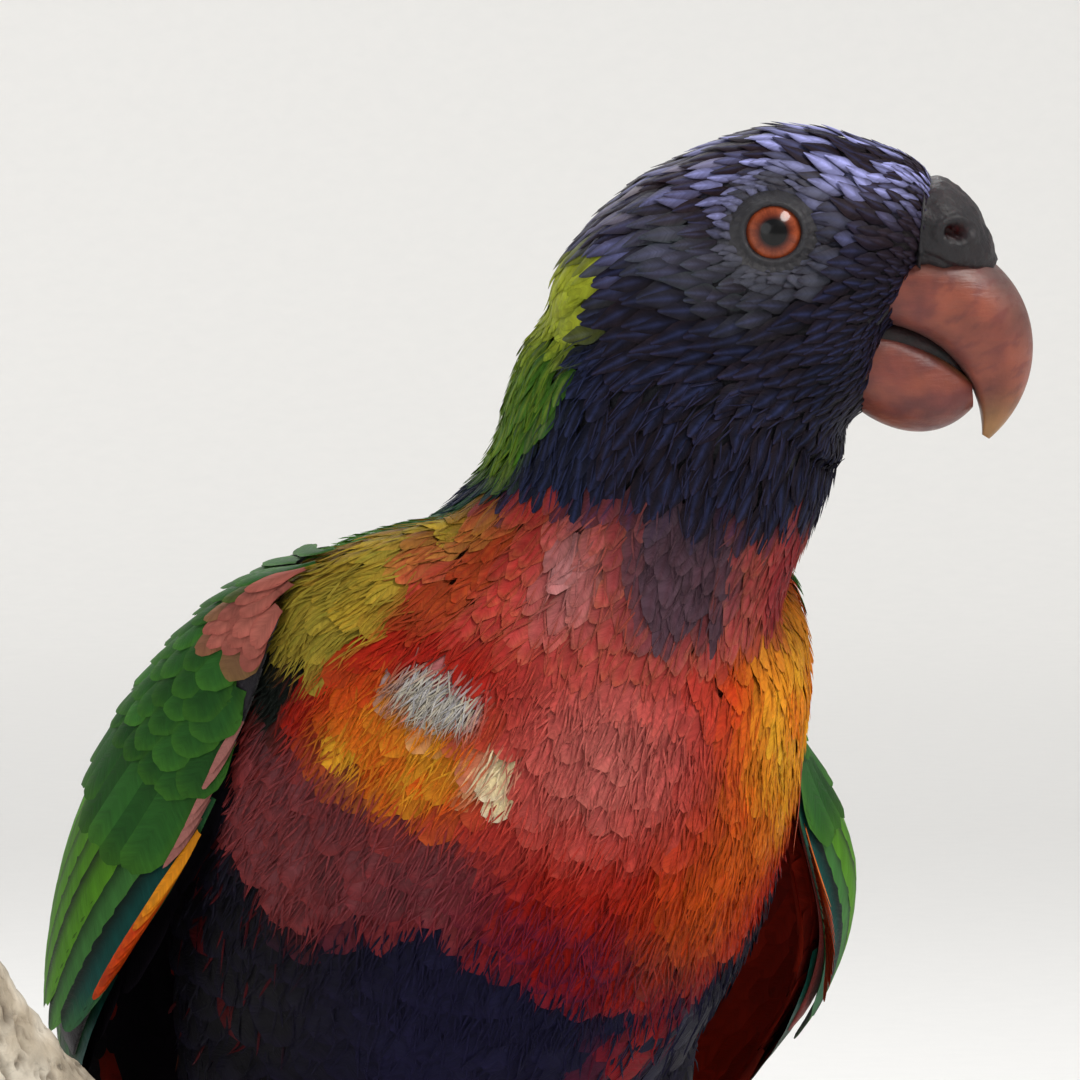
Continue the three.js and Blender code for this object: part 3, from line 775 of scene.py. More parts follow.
    # The neck: dark in front and at the sides, with a yellow-green collar and nape behind.
    throat = on(84.8, 1.2, high + 1.5 * smooth(8, 22, across))
    neck = smooth(NECK_END + 7, NECK_END + 3, at - 2 * rough) * throat
    lay(neck, THROAT, mix(THROAT, THROAT_STREAK, 0.4), 0.4, THROAT_STREAK, 0.35)
    plum = front * smooth(71, 76, high + 2 * rough) * hump(angle, 24, 34) * (1 - neck)
    plum = np.clip(plum * (1.3 + 0.5 * rough + 0.2 * jitter), 0, 0.9)
    lay(plum, mix(PLUM, THROAT, 0.3), mix(PLUM, BROWN, 0.4), 0.4, BROWN, 0.3)
    pale = front * hump(high, 79, 9) * hump(angle, -20, 22) * (1 - neck)
    lay(pale * 0.7, mix(PINK, DOWN, 0.35), PLUM, 0.3, PINK, 0.2)
    side = front * hump(angle, 62, 15) * hump(high, 78, 10) * (1 - neck)
    lay(clamp(side * 1.5), mix(DEEP_RED, PLUM, 0.25), PINK, 0.3, DEEP_RED, 0.3)
    collar_edge = np.interp(above, COLLAR_HEIGHTS, COLLAR_EDGE)
    behind = on(0, 0.9, collar_edge - ahead) * smooth(-2, -5, above) * smooth(-26.5, -24, above)
    collar = mix(COLLAR, NAPE, clamp(smooth(-8, -17, above) + rough * 0.3))
    lay(behind, collar, mix(collar, NAPE, 0.5), 0.5, COLLAR, 0.3)

    # The head: pale violet-blue shaft streaks on brownish ink, greyer round the eye and at the ear.
    nape = smooth(-16.5, -18.5, ahead + 0.4 * jitter) * smooth(-1, -4, above)
    skull = on(0, 1.2, SKULL_END - at) * (1 - nape)
    dark = mix(INK, BROWN, clamp(0.5 + rough * 0.9 + jitter * 0.2))
    crown = smooth(-5, 4, above - 0.2 * ahead)
    ground = mix(THROAT, dark, 0.3 + 0.7 * crown)
    lit = smooth(-0.15, 0.55, 0.45 * jitter + 1.1 * noise(p, 4.5, 31) + 0.12)
    shine = crown * (0.35 + 0.65 * smooth(-13, 0, ahead)) * lit
    ground = mix(ground, BROWN, 0.7 * crown * (1 - lit))
    streak = mix(THROAT_STREAK, STREAK, shine)
    lay(skull, mix(ground, STREAK, 0.62 * shine), mix(ground, BROWN, 0.6), 0.95, streak, 0.3 + 0.7 * shine)
    spots = skull * hump(ahead, -11, 9) * hump(above, 2, 8) * (jitter > 1.15)
    lay(spots, TAN, BROWN, 0.3, TAN, 0.6)
    band = skull * hump(above + 0.45 * ahead, -7.5, 6.5) * smooth(1, -5, ahead) * smooth(-17, -12, ahead)
    lay(band * 0.75, mix(GREY_FACE, BROWN, clamp(0.4 + rough)), EAR, 0.5, GREY_FACE, 0.5)
    ring = skull * smooth(7.5, 4.6, eye_gap(p) + 1.2 * rough) * smooth(6.5, 2, ahead)
    lay(ring * 0.7, GREY_FACE, BROWN, 0.5, GREY_FACE, 0.2)
    lores = skull * smooth(4, 10, ahead) * hump(above, -1, 6)
    lay(lores * 0.85, BROWN, INK, 0.5, mix(BROWN, GREY_FACE, 0.5), 0.3)
    return main, edge, edge_share, shaft, shaft_share


# ---------- vanes ----------

BAKE_PATCH = 0.003  # how wide one feather's patch is on the bake's unwrap


class Shape:
    """A vane's outline: how narrow its root is, where it is widest, how round and how frayed its tip."""

    def __init__(self, rows, cols, root, widest, taper, round_tip, fray, arch, thick):
        self.rows, self.cols = rows, cols
        self.root, self.widest, self.taper = root, widest, taper
        self.round_tip, self.fray, self.arch, self.thick = round_tip, fray, arch, thick
        self.u = np.linspace(-1, 1, cols)
        self.v = np.linspace(0, 1, rows) ** 0.9
        inner = np.zeros((rows, cols), bool)
        inner[1:-1, 1:-1] = True
        self.inner = inner.ravel()
        top = grid_faces(rows, cols)
        under = np.arange(rows * cols)
        under[self.inner] = rows * cols + np.arange(self.inner.sum())
        self.quads = np.concatenate([top, under[top][:, ::-1]])
        self.points = rows * cols + self.inner.sum()
        self.rim = np.concatenate([~self.inner, np.zeros(self.inner.sum(), bool)])

    def waist(self, v):
        wide = self.root + (1 - self.root) * smooth(0, self.widest, v)
        return wide * (1 - self.taper * smooth(self.widest, 1, v) ** 1.3)

    def body(self, u, v):
        """Half the vane's thickness."""
        return self.thick * (1 - u**2) * (0.4 + 0.6 * (1 - v))


LANCE = Shape(6, 7, 0.45, 0.35, 0.5, 0.6, 0.04, 0.14, 0.05)
SCALE = Shape(7, 9, 0.4, 0.55, 0.12, 0.42, 0.04, 0.1, 0.05)
SOFT = Shape(8, 9, 0.35, 0.5, 0.15, 0.4, 0.06, 0.08, 0.05)
NAPE_VANE = Shape(7, 7, 0.4, 0.45, 0.35, 0.5, 0.08, 0.1, 0.05)
WISP = Shape(4, 3, 0.7, 0.3, 0.75, 0.2, 0.0, 0.2, 0.06)


def vane_tint(u, v, colours, dice):
    """Each point's colour over a vane: darker at the root, with its edge and shaft colours."""
    main, edge, edge_share, shaft, shaft_share = (
        np.reshape(c, (-1, 1, 1) + np.shape(c)[1:]) for c in colours
    )
    chance = 1 + 0.1 * dice.normal(size=(len(main), 1, 1, 1))
    rim = np.maximum(smooth(0.5, 1.0, np.abs(u)), smooth(0.72, 1.0, v))
    tint = mix(main, edge, rim * edge_share)
    tint = mix(tint, shaft, (1 - smooth(0.0, 0.42, np.abs(u))) * smooth(0.1, 0.4, v) * shaft_share)
    return tint * chance * (0.66 + 0.34 * smooth(0.05, 0.5, v))[..., None]


def vane_grid(shape, length, width, dice):
    """Places over each vane: from side to side and from root to tip, as shares and in millimetres."""
    count = len(length)
    u = np.broadcast_to(shape.u, (count, shape.rows, shape.cols))
    reach = 1 - shape.round_tip * (1 - np.sqrt(clamp(1 - 0.97 * shape.u**2)))
    reach = reach * (1 - shape.fray * dice.random((count, shape.cols)))
    v = shape.v[:, None] * reach[:, None, :]
    across = u * shape.waist(v) * (width / 2)[:, None, None]
    return u, v, across, v * length[:, None, None]


def vane_mesh(name, shape, grid, top, low, tint, back, root_uv, cell=BAKE_PATCH, flip=False):
    """One mesh of closed vanes, from the points and colours of their two faces. Each vane's patch of
    the bake's unwrap is cell wide."""
    u, v, across, along = grid
    count = len(u)
    under = lambda places: places.reshape(count, -1, places.shape[-1])[:, shape.inner]
    closed = lambda places, below: np.concatenate([places.reshape(count, -1, places.shape[-1]), below], 1)
    vane = np.stack([0.5 + across / 10, along / 10], -1)
    patch = np.stack([u * 0.5, v - 0.5], -1) * cell
    uvs = {
        "OFBake": (closed(patch, under(patch)) + root_uv[:, None]).reshape(-1, 2),
        "Vane": closed(vane, under(vane)).reshape(-1, 2),
    }
    points = closed(top, under(low)).reshape(-1, 3)
    quads = shape.quads[:, ::-1] if flip else shape.quads
    faces = quads[None] + (np.arange(count) * shape.points)[:, None, None]
    tint = closed(tint, under(back)).reshape(-1, 3)
    return make(name, points, faces.reshape(-1, 4), tint, uvs, np.tile(shape.rim, count))


def feathers(name, shape, surface, roots, way, length, width, heights, colours, seed):
    """One mesh of closed vanes, draped over a surface. roots are (place, uv); heights are how far the
    root stands off the surface, and how much further the tip does."""
    place, root_uv = roots
    under, lift = heights
    dice = np.random.default_rng(seed)
    count = len(place)
    _, normal, *_ = surface.nearest(place)
    way = unit(way - normal * (way * normal).sum(-1, keepdims=True))
    aside = np.cross(way, normal)

    grid = vane_grid(shape, length, width, dice)
    u, v, across, along = grid
    bend = dice.normal(0, 0.05, count)[:, None, None] * along**2 / length[:, None, None]
    spot = place[:, None, None] + aside[:, None, None] * (across + bend)[..., None]
    spot = spot + way[:, None, None] * along[..., None]
    foot, up, *_ = surface.nearest(spot.reshape(-1, 3))
    foot, up = foot.reshape(spot.shape), up.reshape(spot.shape)

    lift = lift * (1 + 0.15 * dice.normal(size=count))
    roll = dice.normal(0, 0.1, count)[:, None, None]
    high = under[:, None, None] + lift[:, None, None] * (v**0.85 + roll * u * v)
    high = high + shape.arch * (width / 2)[:, None, None] * (1 - u**2) * (0.3 + 0.7 * v)
    body = shape.body(u, v)
    top = foot + up * (high + body)[..., None]
    low = foot + up * (high - body)[..., None]
    tint = vane_tint(u, v, colours, dice)
    return vane_mesh(name, shape, grid, top, low, tint, tint * 0.6, root_uv)


# ---------- the body's coat ----------


def turned(way, normal, angle):
    """The way turned about the normal."""
    return way * np.cos(angle)[:, None] + np.cross(normal, way) * np.sin(angle)[:, None]


def coat(
    name, skin, shape, spacing, keep, size, slot, material, seed, swing=0.12, under=0.35, lift=0.35
):
    """A region's feathers. size(p) gives each one's length and width; its root stands off the skin by
    the share under of the coat's depth, and its tip by the share lift more."""
    place, face, share = skin.scatter(spacing, keep, seed)
    dice = np.random.default_rng(seed + 1)
    _, normal, *_ = skin.nearest(place)
    way = turned(lie(place, normal), normal, dice.normal(0, swing, len(place)))
    length, width = size(place)
    length = length * (1 + 0.12 * dice.normal(size=len(place)))
    colours = markings(place + way * length[:, None] * 0.7, dice.normal(size=len(place)))
    depth = coat_depth(place)
    roots = (place, skin.uv_at(face, share))
    heights = (depth * under, depth * lift)
    made = feathers(name, shape, skin, roots, way, length, width, heights, colours, seed + 2)
    return own(made, slot, material)


# Each folded wing, down the trunk's axis: the angles of its back edge and belly edge round from the
# spine, and how far its outer face stands off the body at each edge and in the bulge between them.
WING_TIP = 150
WING = [
    [1, 66, 88, 0.6, 0.6, 0.4],
    [6, 46, 92, 1.0, 0.8, 2.1],
    [14, 30, 97, 1.6, 1.0, 3.8],
    [30, 18, 100, 2.6, 3.2, 5.3],
    [46, 13, 101, 3.4, 9.6, 3.0],
    [60, 11, 98, 3.6, 13.0, 1.6],
    [80, 10, 92, 3.6, 13.6, 0.8],
    [100, 11, 86, 3.6, 11.4, 0.4],
    [120, 18, 78, 3.2, 7.4, 0.2],
    [136, 28, 70, 2.6, 4.0, 0],
    [WING_TIP, 44, 60, 1.8, 1.8, 0],
]
# The trunk: half width, height to the back and depth to the belly, going on round the tail.
TRUNK_SIZES = [
    [-4, 15, 4.5, 15],
    [0, 23.6, 8.5, 20],
    [4, 27.2, 12.5, 23],
    [9, 28.6, 17.5, 26],
    [15, 29.4, 21, 28.4],
    [27, 30.6, 23.5, 30],
    [42, 30.2, 22.5, 28],
    [57, 27, 20, 21.5],
    [72, 21.6, 16.5, 14.5],
    [85, 16.5, 12, 9.6],
    [96, 12.5, 8, 7],
    [108, 10, 5, 5],
    [150, 8, 4, 4],
]
HELD_OFF = {1: 10.8, -1: 0}  # how much further the left wing arches away from the flank
EDGE_SHARE = 0.1  # how much of that reaches its belly edge
TUCKED = {1: 0.85, -1: 0}  # the share of the left wing's bulge that lies flat at the bend
TUCK_TURN = 10  # degrees that a tucked wing's belly edge draws back


def depth_behind_wing(p):
    """How deep a place lies under the middle of a folded wing, from 0 at the wing's edges."""
    across, back, down = TRUNK.into(p).T
    angle = np.degrees(np.arctan2(np.abs(across), back))
    edges = between(WING, np.clip(down, WING[0][0], WING_TIP))
    inside = np.minimum(angle - edges[:, 0], edges[:, 1] - angle)
    return inside * smooth(8, 12, down) * smooth(100, 90, down)


def wing_point(side, down, share, depth):
    """A place on a wing: share 0 is its back edge and 1 its belly edge, depth is measured inwards."""
    down, share, depth = np.broadcast_arrays(down, share, depth)
    rows = between(WING, down)
    back_edge, belly_edge, back, belly, bulge = np.moveaxis(rows, -1, 0)
    tucked = TUCKED[side] * (1 - smooth(16, 44, down))
    angle = np.radians(lerp(back_edge, belly_edge - TUCK_TURN * tucked, share))
    arch = np.sin(math.pi * clamp(share) ** 1.8)
    held = HELD_OFF[side] * np.sin(math.pi * np.clip(down, 0, WING_TIP) / WING_TIP).clip(0) ** 2.2
    off = held * lerp(arch, share, EDGE_SHARE)
    stand = back + (belly - back) * share + (bulge * arch + off) * (1 - tucked) - depth
    wide, high, low = np.moveaxis(between(TRUNK_SIZES, down), -1, 0)
    tall = np.where(angle < math.pi / 2, high + stand, low + stand)
    return TRUNK.out(side * (wide + stand) * np.sin(angle), np.cos(angle) * tall, down)


def wing_breadth(side, down):
    """The wing's breadth over its outer face, in millimetres."""
    shares = np.linspace(0, 1, 13)
    row = wing_point(side, np.asarray(down)[..., None], shares, 0)
    return np.linalg.norm(np.diff(row, axis=-2), axis=-1).sum(-1)


# ---------- wings ----------

TEAL = rgb("#155f58")
WING_FIRE = rgb("#c8340f")
WING_AMBER = rgb("#e8921c")
WING_PINK = rgb("#a25c50")
BLACKISH = rgb("#0c120e")
UNDER_RED = rgb("#ac2a16")
# near black: painted shade over the crimson of the wings' inner faces, strongest on the right
UNDER_SHADE = rgb("#17121b")
UNDER_ORANGE = rgb("#b23c12")
LEAF = rgb("#4f8620")


def wing_colours(down, share, dice, pink=0.0):
    """A folded wing's small coverts: green, with as much dull pink as is given at the bend."""
    jitter = dice.normal(0, 1, len(down))
    main = mix(GREEN, DARK_GREEN, clamp(0.45 + 0.15 * jitter))
    main = mix(main, BRIGHT_GREEN, 0.55 * smooth(0.3, 0.05, share) * smooth(20, 40, down))
    # Painted shade: the belly edge near the bend goes nearly black where the wing meets the breast.
    wing_edge_shade = smooth(0.92, 0.98, share) * smooth(10, 14, down) * smooth(24, 18, down)
    main = mix(main, BLACKISH, 0.8 * wing_edge_shade)
    rim = mix(main, BRIGHT_GREEN, 0.35 * (1 - wing_edge_shade))
    bend = smooth(0.7, 0.74, share) * smooth(11.6, 10.8, down)
    main = mix(main, WING_PINK, bend * pink)
    rim = mix(rim, mix(WING_PINK, DEEP_RED, 0.3), bend * pink)
    return main, rim, 0.6, mix(main, BLACKISH, 0.4), 0.25


def long_covert_colours(share):
    """The long coverts' outer webs: green, bright over the wing's bend and teal by the belly edge."""
    main = mix(mix(GREEN, DARK_GREEN, 0.5), LEAF, smooth(0.5, 0.72, share))
    main = mix(main, mix(TEAL, BLACKISH, 0.4), smooth(0.88, 0.95, share))
    return main, mix(main, BRIGHT_GREEN, 0.5), 0.6, mix(main, BLACKISH, 0.6), 0.6


def underwing_colours(side, share, dice):
    """A wing's inner face: crimson on the left; near black on the right as painted shade, with a few
    crimson feathers.
    """
    chance = dice.normal(size=len(share))
    dark = clamp(0.15 + 0.15 * chance) if side > 0 else 1 - 0.6 * (chance > 1.1)
    main = mix(UNDER_RED, UNDER_SHADE, dark)
    rim = mix(main, UNDER_ORANGE, 0.3 * smooth(0.85, 1.0, share) * (side > 0))
    return main, rim, 0.5, mix(main, BLACKISH, 0.4), 0.3


def wing_feathers(
    name,
    side,
    shape,
    roots,
    size,
    height,
    colours,
    seed,
    inner=False,
    lining=None,
    web=None,
    cell=BAKE_PATCH,
):
    """Vanes along a wing, from the downs and shares of their roots and their (length, width).

    height(down, v, u) is the depth below the wing's outline, or on the inner face the depth of the
    face they lie on. lining is the colour of their under sides, and web that of the half of each vane
    that is nearer to the wing's back edge."""
    down0, share0 = roots
    length, width = size
    dice = np.random.default_rng(seed)
    count = len(down0)
    grid = vane_grid(shape, length, width, dice)
    u, v, across, along = grid
    down = down0[:, None, None] + along
    breadth = wing_breadth(side, down.reshape(-1)).reshape(down.shape)
    share = np.clip(share0[:, None, None] + across / np.maximum(breadth, 9), -0.06, 1.06)
    deep = height(down, v, u) - shape.arch * (width / 2)[:, None, None] * (1 - u**2)
    body = shape.body(u, v)
    if inner:
        deep, body = 2 * height(down, v, u) - deep, -body
    top = wing_point(side, down, share, deep - body)
    low = wing_point(side, down, share, deep + body)
    tint = vane_tint(u, v, colours, dice)
    if web is not None:
        tint = mix(tint, web, 0.9 * smooth(0.1, -0.15, u))
    back = tint * 0.5
    if lining is not None:
        back = mix(back, lining, 0.9)
    root_uv = np.stack([0.08 + 0.84 * share0, 0.06 + 0.88 * down0 / WING_TIP], -1)
    if cell > BAKE_PATCH:
        index = np.arange(count)
        root_uv = np.stack([(index % 6 + 0.5) / 6, (index // 6 + 0.5) / 6], -1)
    flip = (side > 0) == inner
    return vane_mesh(name, shape, grid, top, low, tint, back, root_uv, cell, flip)


WING_SCALE = Shape(7, 9, 0.5, 0.5, 0.1, 0.4, 0.05, 0.12, 0.05)
EDGE_SCALE = Shape(8, 5, 0.6, 0.4, 0.25, 0.4, 0.05, 0.15, 0.05)
LONG = Shape(14, 9, 0.6, 0.4, 0.12, 0.3, 0.03, 0.08, 0.06)
LINING = Shape(8, 7, 0.6, 0.4, 0.12, 0.3, 0.03, 0.08, 0.06)
FLIGHT = Shape(30, 9, 0.7, 0.2, 0.3, 0.1, 0.015, 0.05, 0.1)
COVERTS_END = 60
SECONDARY_TIP = 108
COVERT_BED = 1.5  # how deep under the wing's outline the coverts' roots lie
COVERTS = 19  # in each of the two long rows
MEDIAN_ROOT, GREATER_ROOT = 21.5, 24.5  # how far down the wing those rows start
FLIGHTS = 16


def covert_rows(side, first, last, step, low, high, gap, dice):
    """Staggered rows of roots down the wing, as downs and shares."""
    downs, shares = [], []
    for i, down in enumerate(np.arange(first, last, step)):
        pitch = gap / wing_breadth(side, np.array([down]))[0]
        row = np.arange(low + (i % 2) * pitch / 2, high, pitch)
        downs.append(np.full(len(row), down) + dice.normal(0, 0.25, len(row)))
        shares.append(row + dice.normal(0, 0.12, len(row)) * pitch)
    return np.concatenate(downs), np.concatenate(shares)


def wing_arm(name, side):
    """The thin closed wing under the feathers."""
    down = np.linspace(6, COVERTS_END - 1, 30)
    share = np.linspace(0.015, 0.985, 22)
    d, s = np.meshgrid(down, share, indexing="ij")
    thick = (3.0 - 0.02 * d) * np.sin(math.pi * clamp(s)) ** 0.6
    outer = wing_point(side, d, s, COVERT_BED)
    inner = wing_point(side, d, s, COVERT_BED + 0.3 + thick * 0.4)
    rings = np.concatenate([outer, inner[:, ::-1]], 1)
    # Painted shade: near black on the right, crimson half darkened on the left.
    bare = mix(UNDER_RED, UNDER_SHADE, 0.5) if side > 0 else UNDER_SHADE
    piece(name, closed_loft(rings, wall=True), bare, "wing_feathers", "skin")


def wing(name, side, seed):
    """The folded wing: coverts in rows, the bright band along its edge, the lining and the flights."""
    dice = np.random.default_rng(seed)
    wing_arm(f"wing_{name}_arm", side)
    slope = lambda bed, rise: lambda down, v, u: bed - rise * v
    pink = 1.0 if name == "right" else 0.0

    def row(label, shape, roots, size, height, colours, *nodes, **more):
        count = len(roots[0])
        length, width = (np.broadcast_to(measure, count) for measure in size)
        length = length * (1 + 0.05 * dice.normal(size=count))
        own_seed = int(dice.integers(1 << 30))
        label = f"wing_{name}_{label}"
        made = wing_feathers(label, side, shape, roots, (length, width), height, colours, own_seed, **more)
        own(made, "wing_feathers", FINISH["wing"], *nodes)

    down, share = roots = covert_rows(side, 0.5, 22.5, 2.2, 0.04, 0.965, 2.7, dice)
    size = (5.6 + 0.07 * down, 2.8 + 1.8 * smooth(2, 12, down))
    small = wing_colours(down + 4, share, dice, pink)
    row("lesser_coverts", WING_SCALE, roots, size, slope(1.45, 1.1), small, f"wing_{name}_coverts")

    down, share = roots = covert_rows(side, 1.2, 8, 1.2, 0.73, 1.0, 1.5, dice)
    colours = wing_colours(down + 2, share, dice, pink)
    row("bend_coverts", WING_SCALE, roots, (3.8, 2.3), slope(1.1, 1.05), colours)

    share = np.linspace(0.03, 0.94, COVERTS)
    down = MEDIAN_ROOT + dice.normal(0, 0.4, COVERTS)
    colours = wing_colours(down, share, dice)
    row("median_coverts", LONG, (down, share), (13.5, 5.6), slope(1.3, 1.0), colours)

    share = np.linspace(0.02, 0.965, COVERTS)
    down = GREATER_ROOT + dice.normal(0, 0.3, COVERTS)
    sunk = 0.03 * np.arange(COVERTS)[:, None, None]
    tilted = lambda down, v, u: 1.25 + sunk * (1 - v) - 0.75 * v - 0.14 * u
    size = (34 + 2.5 * share, 6.0)
    row("greater_coverts", LONG, (down, share), size, tilted, long_covert_colours(share), web=BLACKISH)

    if name == "right":
        line = np.arange(16, 28, 2.2)
        pale = np.tile(mix(WING_PINK, DOWN, 0.12), (len(line), 1))
        blush = (pale, mix(pale, WING_PINK, 0.5), 0.5, pale, 0.2)
        roots = (line, np.full(len(line), 0.995))
        row("edge_line", EDGE_SCALE, roots, (6, 0.9), slope(1.2, 1.1), blush)

    line = np.arange(28, 41, 1.1) + (3 if side > 0 else 0)
    warm = mix(WING_AMBER, WING_FIRE, smooth(28, 33, line))
    fire = (warm, mix(warm, WING_AMBER, 0.3), 0.5, mix(warm, DEEP_RED, 0.4), 0.3)
    row("edge_band", LONG, (line, np.full(len(line), 1.015)), (8.5, 1.5), slope(1.0, 1.0), fire)

    down, share = roots = covert_rows(side, 6, 76, 5.0, 0.06, 1.0, 3.0, dice)
    lining = lambda down, v, u: COVERT_BED + 1.6 * (1 - smooth(56, 74, down)) + 0.5 * v
    colours = underwing_colours(side, share, dice)
    row("under_coverts", LINING, roots, (13, 4.8), lining, colours, inner=True)
    flights(name, side, seed + 5)


def flights(name, side, seed):
    """The secondaries and primaries, half of them each, every one a little deeper than the last."""
    inner_share = np.linspace(0.03, 0.44, FLIGHTS // 2)
    outer_share = np.linspace(0.5, 0.955, FLIGHTS // 2)
    share = np.concatenate([inner_share, outer_share])
    inner_tips = np.interp(inner_share, [0.03, 0.2, 0.44], [88, 100, SECONDARY_TIP])
    outer_tips = np.interp(outer_share, [0.41, 0.93], [110, WING_TIP - 1])
    root = np.full(FLIGHTS, 46.0)
    length = np.concatenate([inner_tips, outer_tips]) - root
    deep = (0.2 + 0.085 * np.arange(FLIGHTS))[:, None, None]
    height = lambda down, v, u: deep + 0.9 * (1 - smooth(0, 0.3, v)) - 0.16 * u
    green = mix(GREEN, DARK_GREEN, 0.55)
    main = mix(green, mix(DARK_GREEN, BLACKISH, 0.3), smooth(0.45, 0.8, share))
    rim = mix(mix(GREEN, BRIGHT_GREEN, 0.3), TEAL, smooth(0.84, 0.95, share))
    colours = (main, rim, 0.85, mix(main, BLACKISH, 0.6), 0.5)
    # The lining is painted shade: wholly near black on the right, crimson partly darkened on the left.
    under = mix(UNDER_RED, UNDER_SHADE, 0.3 if side > 0 else 1.0)
    size = (length, lerp(8.5, 7.0, smooth(0.4, 0.9, share)))
    made = wing_feathers(
        f"wing_{name}_flights", side, FLIGHT, (root, share), size, height, colours, seed,
        lining=under, web=BLACKISH, cell=0.15,
    )
    nodes = [f"wing_{name}_secondaries", f"wing_{name}_primaries"]
    own(made, "flight_feathers", FINISH["flight"], *nodes)


# ---------- tail ----------

RUMP_END = 106
TAIL_TIP = 214
TAIL_PAIRS = 5
TAIL_STEP = 17  # how much shorter each pair is than the one inside it
TAIL_HALF = 5.2  # half a tail feather's breadth
TAIL_ROOT = RUMP_END - 12
TAIL_GREEN = rgb("#3c8420")
TAIL_OLIVE = rgb("#8f8a2a")
TAIL_RED = rgb("#9a2a14")


def tail_vane(rank, side, shape, u, v):
    """One tail feather: its points, colours, and places on the vane's and the bake's unwraps."""
    start = RUMP_END + 0.35
    length = TAIL_TIP - start - TAIL_STEP * rank
    down = TAIL_ROOT + (start + length - TAIL_ROOT) * v
    t = clamp((down - start) / length)
    half = TAIL_HALF * np.minimum(1, 0.75 + t) * np.sqrt(np.maximum(0.004, 1 - t**3.2))
    middle = side * (1.5 - 1.1 * t + 1.1 * rank + 0.011 * rank * length * t)
    back = -0.55 * rank - 0.9 * t - 0.12 * (side < 0)
    x = middle[:, None] + half[:, None] * u
    arch = 0.7 * (1 - u**2)[None] * (half / TAIL_HALF)[:, None]
    ruffle = 0.1 * np.sin(down[:, None] * 0.5 + rank + 2 * u) * np.abs(u)
    body = (0.22 + 0.2 * np.exp(-((u / 0.12) ** 2)))[None] * (1 - u**2) * (1 - 0.7 * t)[:, None]
    high = back[:, None] + arch + ruffle
    spread_u, spread_v, depth = (np.broadcast_to(one, x.shape) for one in (u, v[:, None], down[:, None]))

    red = (hump(t, 0.35, 0.35) * 0.5)[:, None] * (side * spread_u < 0) * (rank > 0)
    pale = smooth(0.75, 1, np.abs(spread_u)) * 0.5 + 0.3 * smooth(0.85, 1, t)[:, None]
    upper = mix(mix(TAIL_GREEN, DARK_GREEN, 0.25 + 0.1 * rank), TAIL_RED, red)
    upper = mix(upper, DARK_GREEN, np.exp(-((spread_u / 0.1) ** 2)) * 0.6)
    upper = mix(upper, BRIGHT_GREEN, pale)
    under = np.broadcast_to(mix(TAIL_OLIVE, TAIL_GREEN, 0.2), upper.shape)

    def both(top, low):
        """The upper face's values, then the inner ones of the lower face."""
        size = top.shape[-1]
        return np.concatenate([top.reshape(-1, size), low.reshape(-1, size)[shape.inner]])

    points = both(TRUNK.out(x, high + body, depth), TRUNK.out(x, high - body, depth))
    vane = np.stack([0.5 + (half[:, None] * u) / 10, depth / 10], -1)
    column = 2 * rank + (side < 0)
    patch = np.stack([(column + 0.5 + 0.45 * spread_u) / (2 * TAIL_PAIRS), 0.05 + 0.9 * spread_v], -1)
    return points, both(upper, under), both(vane, vane), both(patch, patch)


def tail():
    """Graduated pairs, the middle one longest and uppermost; green over olive-yellow."""
    rows, cols = 40, 11
    u = np.linspace(-1, 1, cols)
    v = np.linspace(0, 1, rows) ** 0.8
    shape = Shape(rows, cols, 1, 1, 0, 0, 0, 0, 0)
    dice = np.random.default_rng(71)
    parts, tints, vanes, patches = [], [], [], []
    for rank in range(TAIL_PAIRS - 1, -1, -1):
        for side in (1, -1):
            points, tint, vane, patch = tail_vane(rank, side, shape, u, v)
            parts.append((points, shape.quads))
            tints.append(tint * (1 + 0.06 * dice.normal()))
            vanes.append(vane)
            patches.append(patch)
    uvs = {"OFBake": np.concatenate(patches), "Vane": np.concatenate(vanes)}
    rim = np.tile(shape.rim, 2 * TAIL_PAIRS)
    made = make("tail_feathers", *join_parts(parts), np.concatenate(tints), uvs, rim)
    own(made, "tail_feathers", FINISH["flight"], "tail")


# ---------- bill and cere ----------


def bezier(points, t):
    """A Bezier curve of two or three spans' handles, at t."""
    rows = [np.broadcast_to(p, (len(t), 2)) for p in np.array(points, float)]
    while len(rows) > 1:
        rows = [a + (b - a) * t[:, None] for a, b in zip(rows, rows[1:])]
    return rows[0]


def culmen(t):
    angle = np.radians(92 - 150 * t)
    radius = 9.7 + 1.4 * t**3
    return np.stack([14.5 + radius * np.cos(angle), -10.8 + radius * np.sin(angle)], -1)


def blade(ridge, edge, widths, around, t):
    """Rings from a ridge to an edge in the head's middle plane, squarer on their lower half."""
    half = (ridge - edge) / 2
    size = np.linalg.norm(half, axis=-1)
    up = half / size[:, None]
    middle = (ridge + edge) / 2
    wide = between(widths, t)[:, 0]
    turn = turns(around)
    out, high = np.cos(turn), np.sin(turn)
    fill = lambda value: np.sign(value) * np.abs(value) ** 0.5
    blend = smooth(0.15, -0.35, high)
    out = lerp(out, fill(out), blend)
    high = lerp(high, fill(high), blend)
    across = wide[:, None] * out
    flat = middle[:, None] + up[:, None] * (size[:, None] * high)[..., None]
    return HEAD.out(across, flat[..., 0], flat[..., 1]), high


BILL_ROSE = rgb("#904b38")
BILL_RED = rgb("#6c3430")
BILL_RIDGE = rgb("#665452")
BILL_TIP = rgb("#a8804f")
CERE_GREY = rgb("#1e1b1f")
CERE_LIGHT = rgb("#2f2a2d")
NOSTRIL = rgb("#2c1214")
MOUTH_IN_SHADE = rgb("#0d0909")


